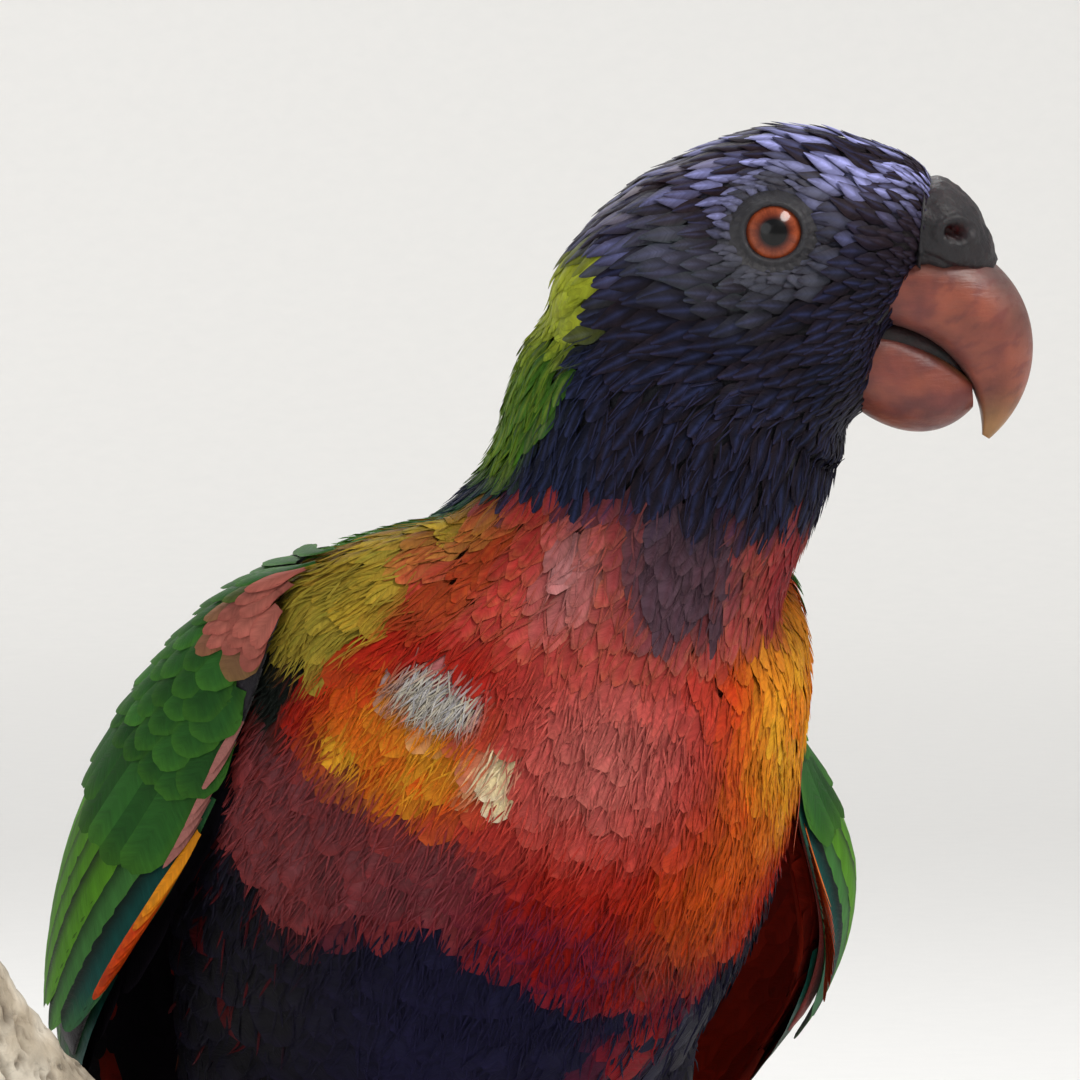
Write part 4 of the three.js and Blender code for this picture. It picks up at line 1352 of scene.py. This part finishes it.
def upper_bill():
    rows, around = 90, 72
    t = np.linspace(0, 1, rows)
    tomium = bezier([(9.2, -9.2), (14.4, -9.6), (19.8, -13.4), (19.7, -19.8)], t)
    widths = [[0, 6.6], [0.3, 6.2], [0.55, 4.9], [0.78, 2.9], [0.93, 1.4], [1, 0.5]]
    rings, high = blade(culmen(t), tomium, widths, around, t)
    points, faces = closed_loft(rings)
    t = np.concatenate([np.repeat(t, around), [0, 1]])
    high = np.concatenate([np.tile(high, rows), [0, 0]])
    tint = mix(BILL_ROSE, BILL_RED, clamp(0.3 + 0.5 * noise(points, 6, 5) - 0.4 * high))
    tint = mix(tint, BILL_RIDGE, smooth(0.1, 0.95, high) * smooth(0.9, 0.2, t) * 0.9)
    tint = mix(tint, BILL_RED, smooth(0.1, 0.7, noise(points * [1, 1, 2], 2.6, 41)) * 0.6)
    tint = mix(tint, BILL_TIP, smooth(0.74, 0.98, t) * 0.8)
    tint = mix(tint, BILL_RIDGE, smooth(-0.75, -1.0, high) * 0.5)
    piece("upper_bill", (points, faces), tint, "bill_horn", "bill", "bill_upper")


def lower_bill():
    rows, around = 90, 72
    t = np.linspace(0, 1, rows)
    edge = bezier([(8.4, -9.6), (13.8, -10.0), (18.6, -14.7)], t)
    keel = bezier([(7.4, -17), (10.4, -19.6), (15.4, -21), (18.8, -17.2)], t)
    rings, high = blade(keel, edge, [[0, 5.4], [0.5, 5.0], [0.85, 3.7], [1, 2.6]], around, t)
    points, faces = closed_loft(rings)
    t = np.concatenate([np.repeat(t, around), [0, 1]])
    high = np.concatenate([np.tile(high, rows), [0, 0]])
    tint = mix(BILL_RED, BILL_ROSE, clamp(0.35 + 0.6 * noise(points, 5, 6)))
    tint = mix(tint, BILL_TIP, smooth(-0.7, -1, high) * smooth(0.4, 1, t) * 0.6)
    piece("lower_bill", (points, faces), tint, "bill_horn", "bill", "bill_lower")


def mouth():
    """The lining that shows between the bill's two halves, coloured near black: its own dark and painted
    shade of the gap.
    """
    t = np.linspace(0, 1, 40)
    roof = bezier([(8.8, -8.0), (14.4, -8.6), (18.6, -11.8), (18.2, -14.6)], t)
    floor = bezier([(8.2, -11.2), (13.4, -11.8), (17.4, -15.2)], t)
    rings, _ = blade(roof, floor, [[0, 4.9], [0.5, 3.9], [1, 1.2]], 48, t)
    points, faces = closed_loft(rings)
    # Near black: the lining's own colour deepened as painted shade.
    tint = mix(MOUTH_IN_SHADE, NOSTRIL, clamp(0.2 + 0.4 * noise(points, 3, 7)))
    piece("mouth_lining", (points, faces), tint, "cere_skin", "bare")


def cere():
    """The bare skin over the bill's root, with a rimmed nostril on each side and a fold below."""
    t = np.linspace(0, 1, 80)
    top = bezier([(13.6, 5.3), (19.2, 5.0), (21.1, -3.0)], t)
    low = bezier([(13, -4.6), (15.8, -4.6), (20.4, -4.2)], t)
    rings, _ = blade(top, low, [[0, 7.9], [0.5, 6.9], [0.85, 4.9], [1, 2.8]], 128, t)
    points, faces = closed_loft(rings)
    normals = point_normals(points, faces)
    across, ahead, above = HEAD.into(points).T
    from_nostril = np.hypot((ahead - 16.9) / 1.25, (above + 0.5) / 0.9)
    beside = smooth(3.0, 4.2, np.abs(across))
    pit = smooth(1.05, 0.55, from_nostril) * beside
    rim = hump(from_nostril, 1.45, 0.6) * beside
    fold = hump(above + 0.35 * (ahead - 15), -3.2, 0.5) * 0.25
    sunk = 0.5 * smooth(16.0, 14.2, ahead)
    grain = 0.1 * noise(points, 2.2, 8)
    points = points + normals * (0.22 * rim - 1.3 * pit - fold - sunk + grain)[:, None]
    tint = mix(CERE_GREY, CERE_LIGHT, clamp(smooth(0, 5, above) + 0.4 * noise(points, 4, 9)))
    tint = mix(tint, NOSTRIL, pit)
    piece("bill_cere", (points, faces), tint, "cere_skin", "bare", "cere")


# ---------- eyes ----------

PUPIL = 1.2
IRIS = 2.62
LID_RADIUS = 2.5
IRIS_ORANGE = rgb("#a04a28")
IRIS_RED = rgb("#5e2414")
IRIS_DARK = rgb("#2c120c")
PUPIL_BLACK = rgb("#040405")


def eye(name, side, skin, seed):
    """The ball with its iris, and the ring of bare skin and lid round it."""
    dice = np.random.default_rng(seed)
    around = 96
    turn = turns(around)
    out = HEAD_LEFT * side
    spoke = HEAD_AHEAD * np.cos(turn)[:, None] + np.array([0, 0, 1.0]) * np.sin(turn)[:, None]

    pupil = np.linspace(0.05, PUPIL - 0.02, 8)
    iris = np.linspace(PUPIL + 0.02, IRIS, 18)
    white = np.linspace(IRIS + 0.06, EYE_RADIUS, 12)
    radii = np.concatenate([pupil, iris, white])
    tilt = np.arcsin(clamp(radii / EYE_RADIUS))[:, None, None]
    bulge = 1 + 0.045 * smooth(0.85, 0.1, radii / IRIS)
    cap = EYE_RADIUS * bulge[:, None, None] * (np.sin(tilt) * spoke[None] + np.cos(tilt) * out)
    behind = EYE[name] + spoke[None] * EYE_RADIUS * 0.8 - out * 1.5
    ball = closed_loft(np.concatenate([EYE[name] + cap, behind]))
    fibre = dice.normal(0, 1, around)
    fibre = (fibre + np.roll(fibre, 1) + np.roll(fibre, 2)) / 1.7
    r = np.concatenate([radii, [EYE_RADIUS]])[:, None]
    glow = smooth(PUPIL + 0.15, PUPIL + 1.0, r) * (1 - 0.8 * smooth(IRIS - 0.45, IRIS, r))
    tint = mix(IRIS_DARK, IRIS_RED, smooth(PUPIL, PUPIL + 0.4, r))
    tint = mix(tint, IRIS_ORANGE, clamp(glow * (0.8 + 0.2 * fibre[None])))
    tint = mix(tint, PUPIL_BLACK, (r < PUPIL).astype(float))
    tint = mix(tint, BARE * 0.4, smooth(IRIS - 0.02, IRIS + 0.05, r))
    tint = np.concatenate([tint.reshape(-1, 3), [PUPIL_BLACK], [BARE]])
    piece(f"eyeball_{name}", ball, tint, "eye", "eye", f"eye_{name}")
    eyelid(name, spoke, out, skin, seed, dice)


def eyelid(name, spoke, out, skin, seed, dice):
    """A ring from the lid's edge on the ball out to the skin, with a beaded rim."""
    around = len(spoke)
    turn = turns(around)
    radius = np.array([LID_RADIUS, 2.56, 2.66, 2.82, 3.0, 3.2, 3.45, 3.75, 4.1, 4.5, 5.0])
    rest = []
    for ray in spoke:
        hit = skin.tree.ray_cast(Vector(EYE[name] + ray * 5.2 + out * 12), Vector(-out))[0]
        rest.append((np.array(hit) - EYE[name]) @ out if hit else 2.2)
    rest = np.array(rest)
    rest = sum(np.roll(rest, k) for k in range(-6, 7)) / 13
    on_ball = math.sqrt(EYE_RADIUS**2 - LID_RADIUS**2) + 0.12
    share = smooth(2.7, 5.0, radius)[:, None]
    grain = np.array([dice.normal(0, 1, around) for _ in radius])
    grain = (grain + np.roll(grain, 1, 1)) / 2
    bead = 0.09 * np.sin(turn * 26)[None] * hump(radius, 3.6, 0.9)[:, None]
    lid = 0.3 * hump(radius, 2.9, 0.35)[:, None]
    high = on_ball + (rest[None] - on_ball) * share + lid + bead + 0.03 * grain
    high[0] -= 0.25
    reach = radius[:, None] * (1 + 0.03 * np.cos(2 * turn))
    at = lambda reach, high: EYE[name] + spoke[None] * reach[..., None] + out * high[..., None]
    loop = np.concatenate([at(reach, high), at(reach + 0.05, high - 0.7)[::-1]]).transpose(1, 0, 2)
    count = loop.shape[1]
    quads = grid_faces(around + 1, count, wrap=True) % (around * count)
    points = loop.reshape(-1, 3)
    tint = mix(BARE, CERE_LIGHT, clamp(0.25 + 0.3 * noise(points, 1.6, seed)))
    piece(f"eyelid_{name}", (points, outward(points, as_triangles(quads))), tint, "cere_skin", "bare")


# ---------- feet ----------

BRANCH_RADIUS = 10.5
FOOT_SPREAD = 13.5
TOE_RADIUS = 2.2
TOES = [(-1, 4.6, 105), (-1, -3.4, 118), (1, 5.4, 112), (1, -4.2, 88)]
FOOT_GREY = rgb("#5d5a5c")
FOOT_DARK = rgb("#2f2c2e")
CLAW = rgb("#1d1a1b")


def branch_point(x):
    x = np.asarray(x, float)
    rise = 0.0119 * np.maximum(0, -x - 8) ** 2 - 0.04 * x
    return np.stack([x, -0.0022 * x**2, PERCH_Z + rise], -1)


def toe_path(side, kind, share, lift):
    way, splay, reach = kind
    angle = np.radians(share * reach)
    out = BRANCH_RADIUS + 0.5 + lift
    at = branch_point(side * FOOT_SPREAD + side * splay * np.minimum(1, share * 1.6))
    at[:, 1] += way * np.sin(angle) * out
    at[:, 2] += np.cos(angle) * out
    return at


def scaly(rows, around, radius, scutes, depth):
    """Radii round a toe or shank, stepped by the scutes across its upper side."""
    along = np.linspace(0, 1, rows)
    turn = turns(around)
    step = np.abs(np.sin(math.pi * scutes * along)) ** 0.5
    above = smooth(-0.3, 0.4, np.sin(turn))
    return radius[:, None] * (1 - depth * (1 - step)[:, None] * (0.35 + 0.65 * above)[None])


def foot(name, side):
    """The toes round the branch, the shank and the ball between them, then the claws."""
    grip = branch_point(side * FOOT_SPREAD)
    parts = []
    rows, around = 110, 28
    share = np.linspace(0, 1, rows)
    for kind in TOES:
        pad = 1 + 0.09 * np.cos(2 * math.pi * 3 * share)
        radius = TOE_RADIUS * (1 - 0.28 * share) * pad * np.sqrt(np.clip((1.02 - share) / 0.05, 0.1, 1))
        path = toe_path(side, kind, share, TOE_RADIUS)
        parts.append(tube(path, scaly(rows, around, radius, 15, 0.13), around, [-kind[0], 0, 0]))
    rows, around = 60, 32
    hold = grip + [0, 0.5, BRANCH_RADIUS + 3]
    ankle = grip + [side * 0.8, 6.6, BRANCH_RADIUS + 7]
    start = ankle + (ankle - hold) * 0.25
    t = np.linspace(0, 1, rows)[:, None]
    path = start + (hold - start) * t + np.array([0, -1.6, 0]) * t * (1 - t)
    parts.append(tube(path, scaly(rows, around, 2.5 + 0.5 * t[:, 0], 8, 0.1), around, [1, 0, 0]))
    turn = np.linspace(0, math.pi, 24)
    ball = np.stack([0 * turn, -np.cos(turn) * 4.2, 0 * turn], -1) + grip + [0, 0, BRANCH_RADIUS + 3.2]
    parts.append(tube(ball, np.maximum(0.05, 3.6 * np.sin(turn)), 40, [1, 0, 0], 0.8))
    points, faces = join_parts(parts)
    tint = mix(FOOT_GREY, FOOT_DARK, clamp(0.4 + 0.7 * noise(points, 2.4, 12)))
    piece(f"foot_{name}_skin", (points, faces), tint, "foot_skin", "foot", f"foot_{name}")
    for i, kind in enumerate(TOES):
        share = np.linspace(0.98, 1.36, 40)
        lift = 1.9 + 2.6 * np.sin((share - 1.02) * 5.2)
        t = (share - 0.98) / 0.38
        radius = 1.45 * np.maximum(1 - t, 0) ** 0.7 + 0.06
        claw = tube(toe_path(side, kind, share, lift), radius, 24, [1, 0, 0])
        tint = mix(CLAW, FOOT_GREY, np.concatenate([np.repeat(1 - t, 24), [1, 0]]) * 0.4)
        label = f"claw_{name}_{i + 1}"
        piece(f"{label}_horn", claw, tint, "claw_horn", "claw", label)


# ---------- perch and stand ----------

BARK_PALE = rgb("#b7aa95")
BARK_CREAM = rgb("#d8cfbe")
BARK_DARK = rgb("#6a5c4b")
WOOD_END = rgb("#b09468")
BASE_WOOD = rgb("#3a281c")
STEEL = rgb("#b9bcc0")
END_RINGS = 26  # of points on each sawn end


def perch():
    """The cut branch: knobbly pale bark between two sawn ends."""
    rows, around = 300, 130
    share = np.linspace(0, 1, rows)
    radius = BRANCH_RADIUS + 0.5 * np.maximum(0, 0.35 - share)
    points, faces = tube(branch_point(np.linspace(-64, 46, rows)), radius, around, [0, 1, 0])
    normals = point_normals(points, faces)
    lumps = noise(points * [0.5, 1, 1], 13, 20) * 0.5
    cracks = 1 - np.abs(noise(points * [0.35, 1.2, 1.2], 5.5, 21))
    rough = noise(points, 2.6, 22)
    side = np.concatenate([np.ones(rows * around), [0, 0]])
    push = (lumps - 0.15 + 0.2 * rough - 0.7 * smooth(0.82, 1.0, cracks)) * side
    points = points + normals * np.minimum(push, 0.5)[:, None]
    tint = mix(BARK_PALE, BARK_CREAM, clamp(0.5 + 0.9 * noise(points, 9, 23)))
    tint = mix(tint, BARK_DARK, clamp(smooth(0.8, 0.97, cracks) * 0.75 + 0.25 * rough))
    piece("perch_bark", (points, faces), tint, "bark", "bark", "perch_branch")
    sawn_end("left", points[:around])
    sawn_end("right", points[(rows - 1) * around : rows * around])


def sawn_end(label, ring):
    """A disc of end grain in the branch's last ring, with growth rings and saw marks."""
    middle = ring.mean(0)
    out = unit(middle - branch_point(np.array([0.0]))[0]) * [1, 0, 0.3]
    size = np.linspace(1, 0, END_RINGS)[:, None, None] * 0.94
    saw = 0.25 * np.sin(np.arange(END_RINGS) * 1.2)[:, None, None]
    disc = middle + (ring - middle)[None] * size + out * (0.5 + 0.1 * saw)
    back = ring * 0.98 + middle * 0.02
    growth = np.concatenate([[0], np.sin(np.arange(END_RINGS) * 1.9)])
    share = 0.25 + 0.2 * np.concatenate([np.repeat(growth, len(ring)), [0, 0]])
    solid = closed_loft(np.concatenate([back[None], disc]))
    piece(f"perch_cut_{label}", solid, mix(WOOD_END, BARK_DARK, share), "bark", "cut")


def lathe(profile, around):
    """A solid turned about the Z axis from (radius, height) pairs, bottom to top."""
    turn = turns(around)
    rings = [np.stack([r * np.cos(turn), r * np.sin(turn), np.full(around, z)], -1) for r, z in profile]
    return closed_loft(np.array(rings))


def stand():
    """The turned base, with a rounded rim and a groove, and the rod with its collar."""
    high = np.array(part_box("stand_base")[1]) / MM
    radius, top = high[0], high[2]
    turn = np.radians(np.linspace(0, 90, 9))
    rim = np.stack([radius - 3 + 3 * np.sin(turn), top - 3 * (1 - np.cos(turn))], -1)[::-1]
    groove = [(radius - 6, top), (radius - 6.4, top - 0.5), (radius - 7, top - 0.5), (radius - 7.4, top)]
    profile = [(1, 0), (radius - 1.2, 0), (radius, 1.2), *rim, *groove, (20, top), (8, top), (0.5, top)]
    piece("base_turned", lathe(profile, 180), BASE_WOOD, "base_wood", "wood", "stand_base")
    rod_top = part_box("stand_rod")[1].z / MM
    collar = [(7, top - 1), (7, top + 2), (6.4, top + 3), (4.2, top + 4), (3.6, top + 6), (3, top + 6.5)]
    profile = [*collar, (3, rod_top - 8), (3, rod_top - 0.5)]
    piece("rod_steel", lathe(profile, 64), STEEL, "rod_steel", "steel", "stand_rod")


# ---------- finishes ----------


def grained(name, grain_mm, variation, relief_mm, roughness, **settings):
    """A finish of mottled colour over a fine relief; grain_mm is the size of the relief's features."""
    paint = Paint(name, Roughness=roughness, **settings)
    mottle = paint.noise(300 / grain_mm, 5.0)
    grain = paint.noise(1000 / grain_mm, 5.0, 0.6)
    tint = paint.tint()
    paint.colour(paint.shade(tint, paint.spread(mottle, 0.3, 0.7, 1 - variation, 1 + variation)))
    paint.rough(paint.spread(grain, 0.3, 0.7, roughness - 0.08, roughness + 0.08))
    paint.bump(grain, relief_mm)
    return paint


def horn_paint():
    """The bill: fine growth lines along it and a few faint scratches."""
    paint = grained("bill_horn", 1.4, 0.3, 0.1, 0.46, Subsurface_Weight=0.12)
    paint.shader.inputs["Subsurface Scale"].default_value = 0.001
    paint.shader.inputs["Coat Weight"].default_value = 0.1
    paint.shader.inputs["Coat Roughness"].default_value = 0.3
    lines = paint.node("Mapping", paint.place, None, None, (220, 220, 1300))
    paint.bump(paint.noise(1.0, 3.0, at=lines), 0.14)
    return paint


def wood_paint(name, stretch, relief_mm, roughness):
    """Long grain: noise drawn out along one axis."""
    paint = Paint(name, Roughness=roughness, Coat_Weight=0.3, Coat_Roughness=0.25)
    long = paint.node("Mapping", paint.place, None, None, stretch)
    grain = paint.noise(1.0, 6.0, 0.65, at=long)
    fine = paint.noise(4.0, 3.0, 0.6, at=long)
    paint.colour(paint.shade(paint.tint(), paint.spread(grain, 0.3, 0.7, 0.55, 1.6)))
    paint.rough(paint.spread(fine, 0.3, 0.7, roughness - 0.08, roughness + 0.12))
    paint.bump(fine, relief_mm)
    return paint


def bark_paint():
    """Pale bark: small cracks and lichen-like mottling."""
    paint = grained("bark", 1.6, 0.28, 0.35, 0.82)
    cells = paint.node("TexVoronoi", paint.place, None, 260.0, feature="DISTANCE_TO_EDGE")
    paint.bump(paint.spread(cells, 0.0, 0.12, 0.0, 1.0), 0.12)
    return paint


def steel_paint():
    """Brushed steel: fine rings round the rod."""
    paint = Paint("rod_steel", Roughness=0.3, Metallic=1.0)
    rings = paint.node("Mapping", paint.place, None, None, (60, 60, 9000))
    brush = paint.noise(1.0, 3.0, at=rings)
    paint.colour(paint.shade(paint.tint(), paint.spread(brush, 0.3, 0.7, 0.85, 1.08)))
    paint.rough(paint.spread(brush, 0.3, 0.7, 0.24, 0.36))
    paint.bump(brush, 0.01)
    return paint


def eye_paint():
    """The eye: a soft wet coat over finely fibrous colour."""
    paint = Paint("eye", Roughness=0.3, Specular_IOR_Level=0.1, Coat_Weight=0.6, Coat_Roughness=0.09)
    fibre = paint.noise(5000.0, 3.0)
    paint.colour(paint.shade(paint.tint(), paint.spread(fibre, 0.3, 0.7, 0.85, 1.15)))
    return paint


FINISH = {
    "skin": grained("plumage_base", 0.5, 0.2, 0.15, 0.85, Sheen_Weight=0.2).data,
    "head": feather_paint("head_feathers", 42, 0.14, 0.05, 0.5),
    "body": feather_paint("body_feathers", 30, 0.16, 0.08, 0.62),
    "wing": feather_paint("wing_coverts", 36, 0.12, 0.05, 0.6),
    "flight": feather_paint("flight_feathers", 30, 0.12, 0.05, 0.5),
    "bill": horn_paint().data,
    "bare": grained("bare_skin", 0.45, 0.16, 0.12, 0.52, Subsurface_Weight=0.1).data,
    "eye": eye_paint().data,
    "foot": grained("foot_skin", 0.5, 0.2, 0.12, 0.6).data,
    "claw": grained("claw_horn", 0.8, 0.15, 0.03, 0.35).data,
    "bark": bark_paint().data,
    "cut": grained("cut_wood", 0.7, 0.15, 0.1, 0.75).data,
    "wood": wood_paint("base_wood", (400, 28, 90), 0.03, 0.35).data,
    "steel": steel_paint().data,
}


# ---------- the whole bird ----------


def face_share(p):
    """0 at the bill's root and the eye's rim, and 1 well away from both."""
    return np.minimum(smooth(-0.5, -9, ahead_of_edge(p)), smooth(3.4, 9, eye_gap(p)))


def build_coats(skin):
    """The plumage over the body, region by region."""
    in_head = lambda p: along_spine(p) < HEAD_END
    shown = lambda p: depth_behind_wing(p) < 9
    every = lambda *sizes: lambda p: tuple(np.full(len(p), size) for size in sizes)

    def head_keep(p):
        return in_head(p) * (ahead_of_edge(p) < 0.7) * (eye_gap(p) > 3.5) * 1.0

    def head_size(p):
        back = smooth(0, -14, HEAD.into(p)[:, 1])
        return 1.8 + 2.6 * face_share(p) + 0.6 * back, 0.85 + 1.25 * face_share(p)

    def head_gap(p):
        return 0.62 + 0.68 * face_share(p)

    def region(nearest, furthest, low=-99, high=999):
        """The trunk's skin between two angles round from the belly and two distances down."""

        def keep(p):
            across, back, down = TRUNK.into(p).T
            angle = np.degrees(np.arctan2(np.abs(across), -back))
            inside = (nearest <= angle) & (angle < furthest) & (low <= down) & (down < high)
            return inside * (along_spine(p) >= NECK_END + 3) * shown(p) * 1.0

        return keep

    def downy(p):
        across, back, down = TRUNK.into(p).T
        angle = np.degrees(np.arctan2(across, -back))
        edge = 1 + 0.5 * noise(p, 3, 61)
        return (np.hypot((angle + DOWN_ANGLE) / 10, (down - DOWN_AT + 0.8) / 1.5) < edge) * 1.0

    def neck_keep(p):
        return ~in_head(p) * (along_spine(p) < NECK_END + 3) * 1.0

    def neck_size(p):
        down_neck = smooth(HEAD_END, NECK_END, along_spine(p))
        return 4.6 + 1.0 * down_neck, 2.0 + 0.5 * down_neck

    def add(name, shape, gap, keep, size, slot, seed, **more):
        gap_at = gap if callable(gap) else lambda p: np.full(len(p), gap)
        finish = FINISH["head"] if slot == "head_feathers" else FINISH["body"]
        coat(name, skin, shape, gap_at, keep, size, slot, finish, seed, **more)

    fray = {"swing": 0.22, "under": 0.55, "lift": 0.32}
    add("head_streaks", LANCE, head_gap, head_keep, head_size, "head_feathers", 11, lift=0.5)
    add("neck_feathers", NAPE_VANE, 1.35, neck_keep, neck_size, "neck_feathers", 21, lift=0.3)
    add("neck_fray", WISP, 0.95, neck_keep, every(2.8, 0.2), "neck_feathers", 24, **fray)
    upper, lower = region(0, 106, high=12), region(0, 106, low=12, high=36)
    add("breast_upper", SOFT, 1.85, upper, every(6.2, 4.2), "breast_feathers", 31, lift=0.25)
    add("breast_lower", SOFT, 2.2, lower, every(7.2, 5.2), "breast_feathers", 34, lift=0.25)
    add("breast_upper_fray", WISP, 0.58, upper, every(2.7, 0.2), "breast_feathers", 37, **fray)
    add("breast_lower_fray", WISP, 0.66, lower, every(3.1, 0.22), "breast_feathers", 40, **fray)
    add("belly_feathers", SOFT, 2.9, region(0, 106, low=36), every(9.0, 6.0), "breast_feathers", 43)
    add("belly_fray", WISP, 1.3, region(0, 106, low=36), every(4.2, 0.3), "breast_feathers", 46, **fray)
    # The bird's left wing is tucked in behind longer feathers at the side of the breast.
    tucked = lambda p: region(66, 92, low=-6, high=17)(p) * (TRUNK.into(p)[:, 0] > 0)
    add("breast_side", SOFT, 2.2, tucked, every(9.5, 5.0), "breast_feathers", 47, under=0.7, lift=0.8)
    fluff = {"swing": 0.3, "under": 0.7, "lift": 0.35}
    add("breast_down", WISP, 0.28, downy, every(2.9, 0.15), "breast_feathers", 49, **fluff)
    back_size = lambda p: (8 + 7 * smooth(78, 98, TRUNK.into(p)[:, 2]), np.full(len(p), 6.0))
    add("back_feathers", SCALE, 2.8, region(106, 181), back_size, "breast_feathers", 51)


def build_body():
    """The skin, in its own markings, and the plumage over it."""
    body = build_skin()
    faces, uv = unwrap(body)
    points = points_of(body.data)
    main, *_ = markings(points, np.zeros(len(points)))
    paint(body.data, main * 0.6)
    own(body, "breast_feathers", FINISH["skin"], *FLESH)
    skin = Surface(points, faces, uv)
    build_coats(skin)
    return skin


def build_rest(skin):
    """Everything that isn't the body: the right and left pieces, then the single ones."""
    for i, (name, side) in enumerate(SIDES.items()):
        wing(name, side, 100 + 20 * i)
        eye(name, side, skin, 60 + i)
        foot(name, side)
    for build in (tail, upper_bill, lower_bill, mouth, cere, perch, stand):
        build()


# ---------- stage, lights and camera ----------


FLOOR_REACH = 3800  # mm from the middle to where the floor begins to curve up
FLOOR_BEND = 1500  # mm, the radius of that curve
FLOOR_TOP = 3200
FLOOR_SPOKES = 96


def build_stage():
    """A wide pale floor that curves up far from the object on every side."""
    bend = np.radians(np.linspace(0, 90, 16))
    curve = np.stack([FLOOR_REACH + FLOOR_BEND * np.sin(bend), FLOOR_BEND * (1 - np.cos(bend))], -1)
    profile = [(10, 0), (900, 0), (2400, 0), *curve, (FLOOR_REACH + FLOOR_BEND, FLOOR_TOP)]
    turn = turns(FLOOR_SPOKES)
    rings = np.array([[(r * math.cos(a), r * math.sin(a), z) for a in turn] for r, z in profile])
    points = np.concatenate([rings.reshape(-1, 3), [[0, 0, 0]]])
    spoke = np.arange(FLOOR_SPOKES)
    middle = np.full(FLOOR_SPOKES, len(points) - 1)
    cap = np.stack([middle, spoke, (spoke + 1) % FLOOR_SPOKES], -1)
    quads = grid_faces(len(profile), FLOOR_SPOKES, wrap=True)
    floor = make("floor", points, np.concatenate([as_triangles(quads)[:, ::-1], cap]))
    pale = Paint("floor_pale", Roughness=0.9)
    grain = pale.noise(90.0, 4.0)
    pale.colour(pale.blend(grain, (0.78, 0.78, 0.77, 1), (0.82, 0.815, 0.8, 1)))
    floor.data.materials.append(pale.data)


def area_light(name, place, aim, size, watts, tint):
    """A round soft light at a place in metres, turned to its aim and not seen itself."""
    lamp = bpy.data.lights.new(name, "AREA")
    lamp.shape = "DISK"
    lamp.size = size
    lamp.energy = watts
    lamp.color = tint
    made = bpy.data.objects.new(name, lamp)
    made.location = place
    made.rotation_euler = (Vector(aim) - Vector(place)).to_track_quat("-Z", "Y").to_euler()
    made.visible_camera = False
    bpy.context.scene.collection.objects.link(made)


def build_lights():
    """High soft daylight from the bird's front left, a weak fill, a rim light behind and an even sky."""
    aim = (0.0, -0.01, 0.19)
    sun = bpy.data.lights.new("daylight", "SUN")
    sun.energy = 2.25
    sun.angle = math.radians(24)
    sun.color = (1.0, 0.975, 0.94)
    high = bpy.data.objects.new("daylight", sun)
    high.rotation_euler = Vector((-0.5, 0.75, -1.0)).to_track_quat("-Z", "Y").to_euler()
    bpy.context.scene.collection.objects.link(high)
    area_light("fill", (-1.4, -1.1, 0.7), aim, 1.4, 5, (0.93, 0.96, 1.0))
    area_light("rim", (0.2, 1.4, 1.3), aim, 1.2, 10, (1.0, 1.0, 1.0))
    world = bpy.data.worlds.new("studio")
    world.use_nodes = True
    world.node_tree.nodes["Background"].inputs["Color"].default_value = (0.93, 0.95, 1.0, 1)
    world.node_tree.nodes["Background"].inputs["Strength"].default_value = 0.32
    bpy.context.scene.world = world
    bpy.context.scene.view_settings.view_transform = "Standard"


CAMERA_AZIMUTH = -22  # degrees from straight in front, towards the bird's right
CAMERA_ELEVATION = 2  # degrees
CAMERA_DISTANCE = 0.9  # m
CAMERA_LENS = 306  # mm, on a sensor SENSOR_WIDTH mm wide
SENSOR_WIDTH = 36
AIM_RIGHT = 0.0061  # m to the picture's right of the stand's axis
AIM_UP = 0.0816  # m above PERCH_Z


def build_camera():
    """The main view: from the bird's front right, nearly level, through a long lens."""
    azimuth, elevation = math.radians(CAMERA_AZIMUTH), math.radians(CAMERA_ELEVATION)
    side = Vector((math.cos(azimuth), math.sin(azimuth), 0))
    level = math.cos(elevation)
    back = Vector((math.sin(azimuth) * level, -math.cos(azimuth) * level, math.sin(elevation)))
    target = side * AIM_RIGHT + Vector((0, 0, PERCH_Z * MM + AIM_UP))
    data = bpy.data.cameras.new("camera")
    data.lens = CAMERA_LENS
    data.sensor_width = SENSOR_WIDTH
    data.clip_end = 60
    camera = bpy.data.objects.new("camera", data)
    camera.location = target + back * CAMERA_DISTANCE
    camera.rotation_euler = (-back).to_track_quat("-Z", "Y").to_euler()
    bpy.context.scene.collection.objects.link(camera)
    bpy.context.scene.camera = camera


build_rest(build_body())
build_stage()
build_lights()
build_camera()
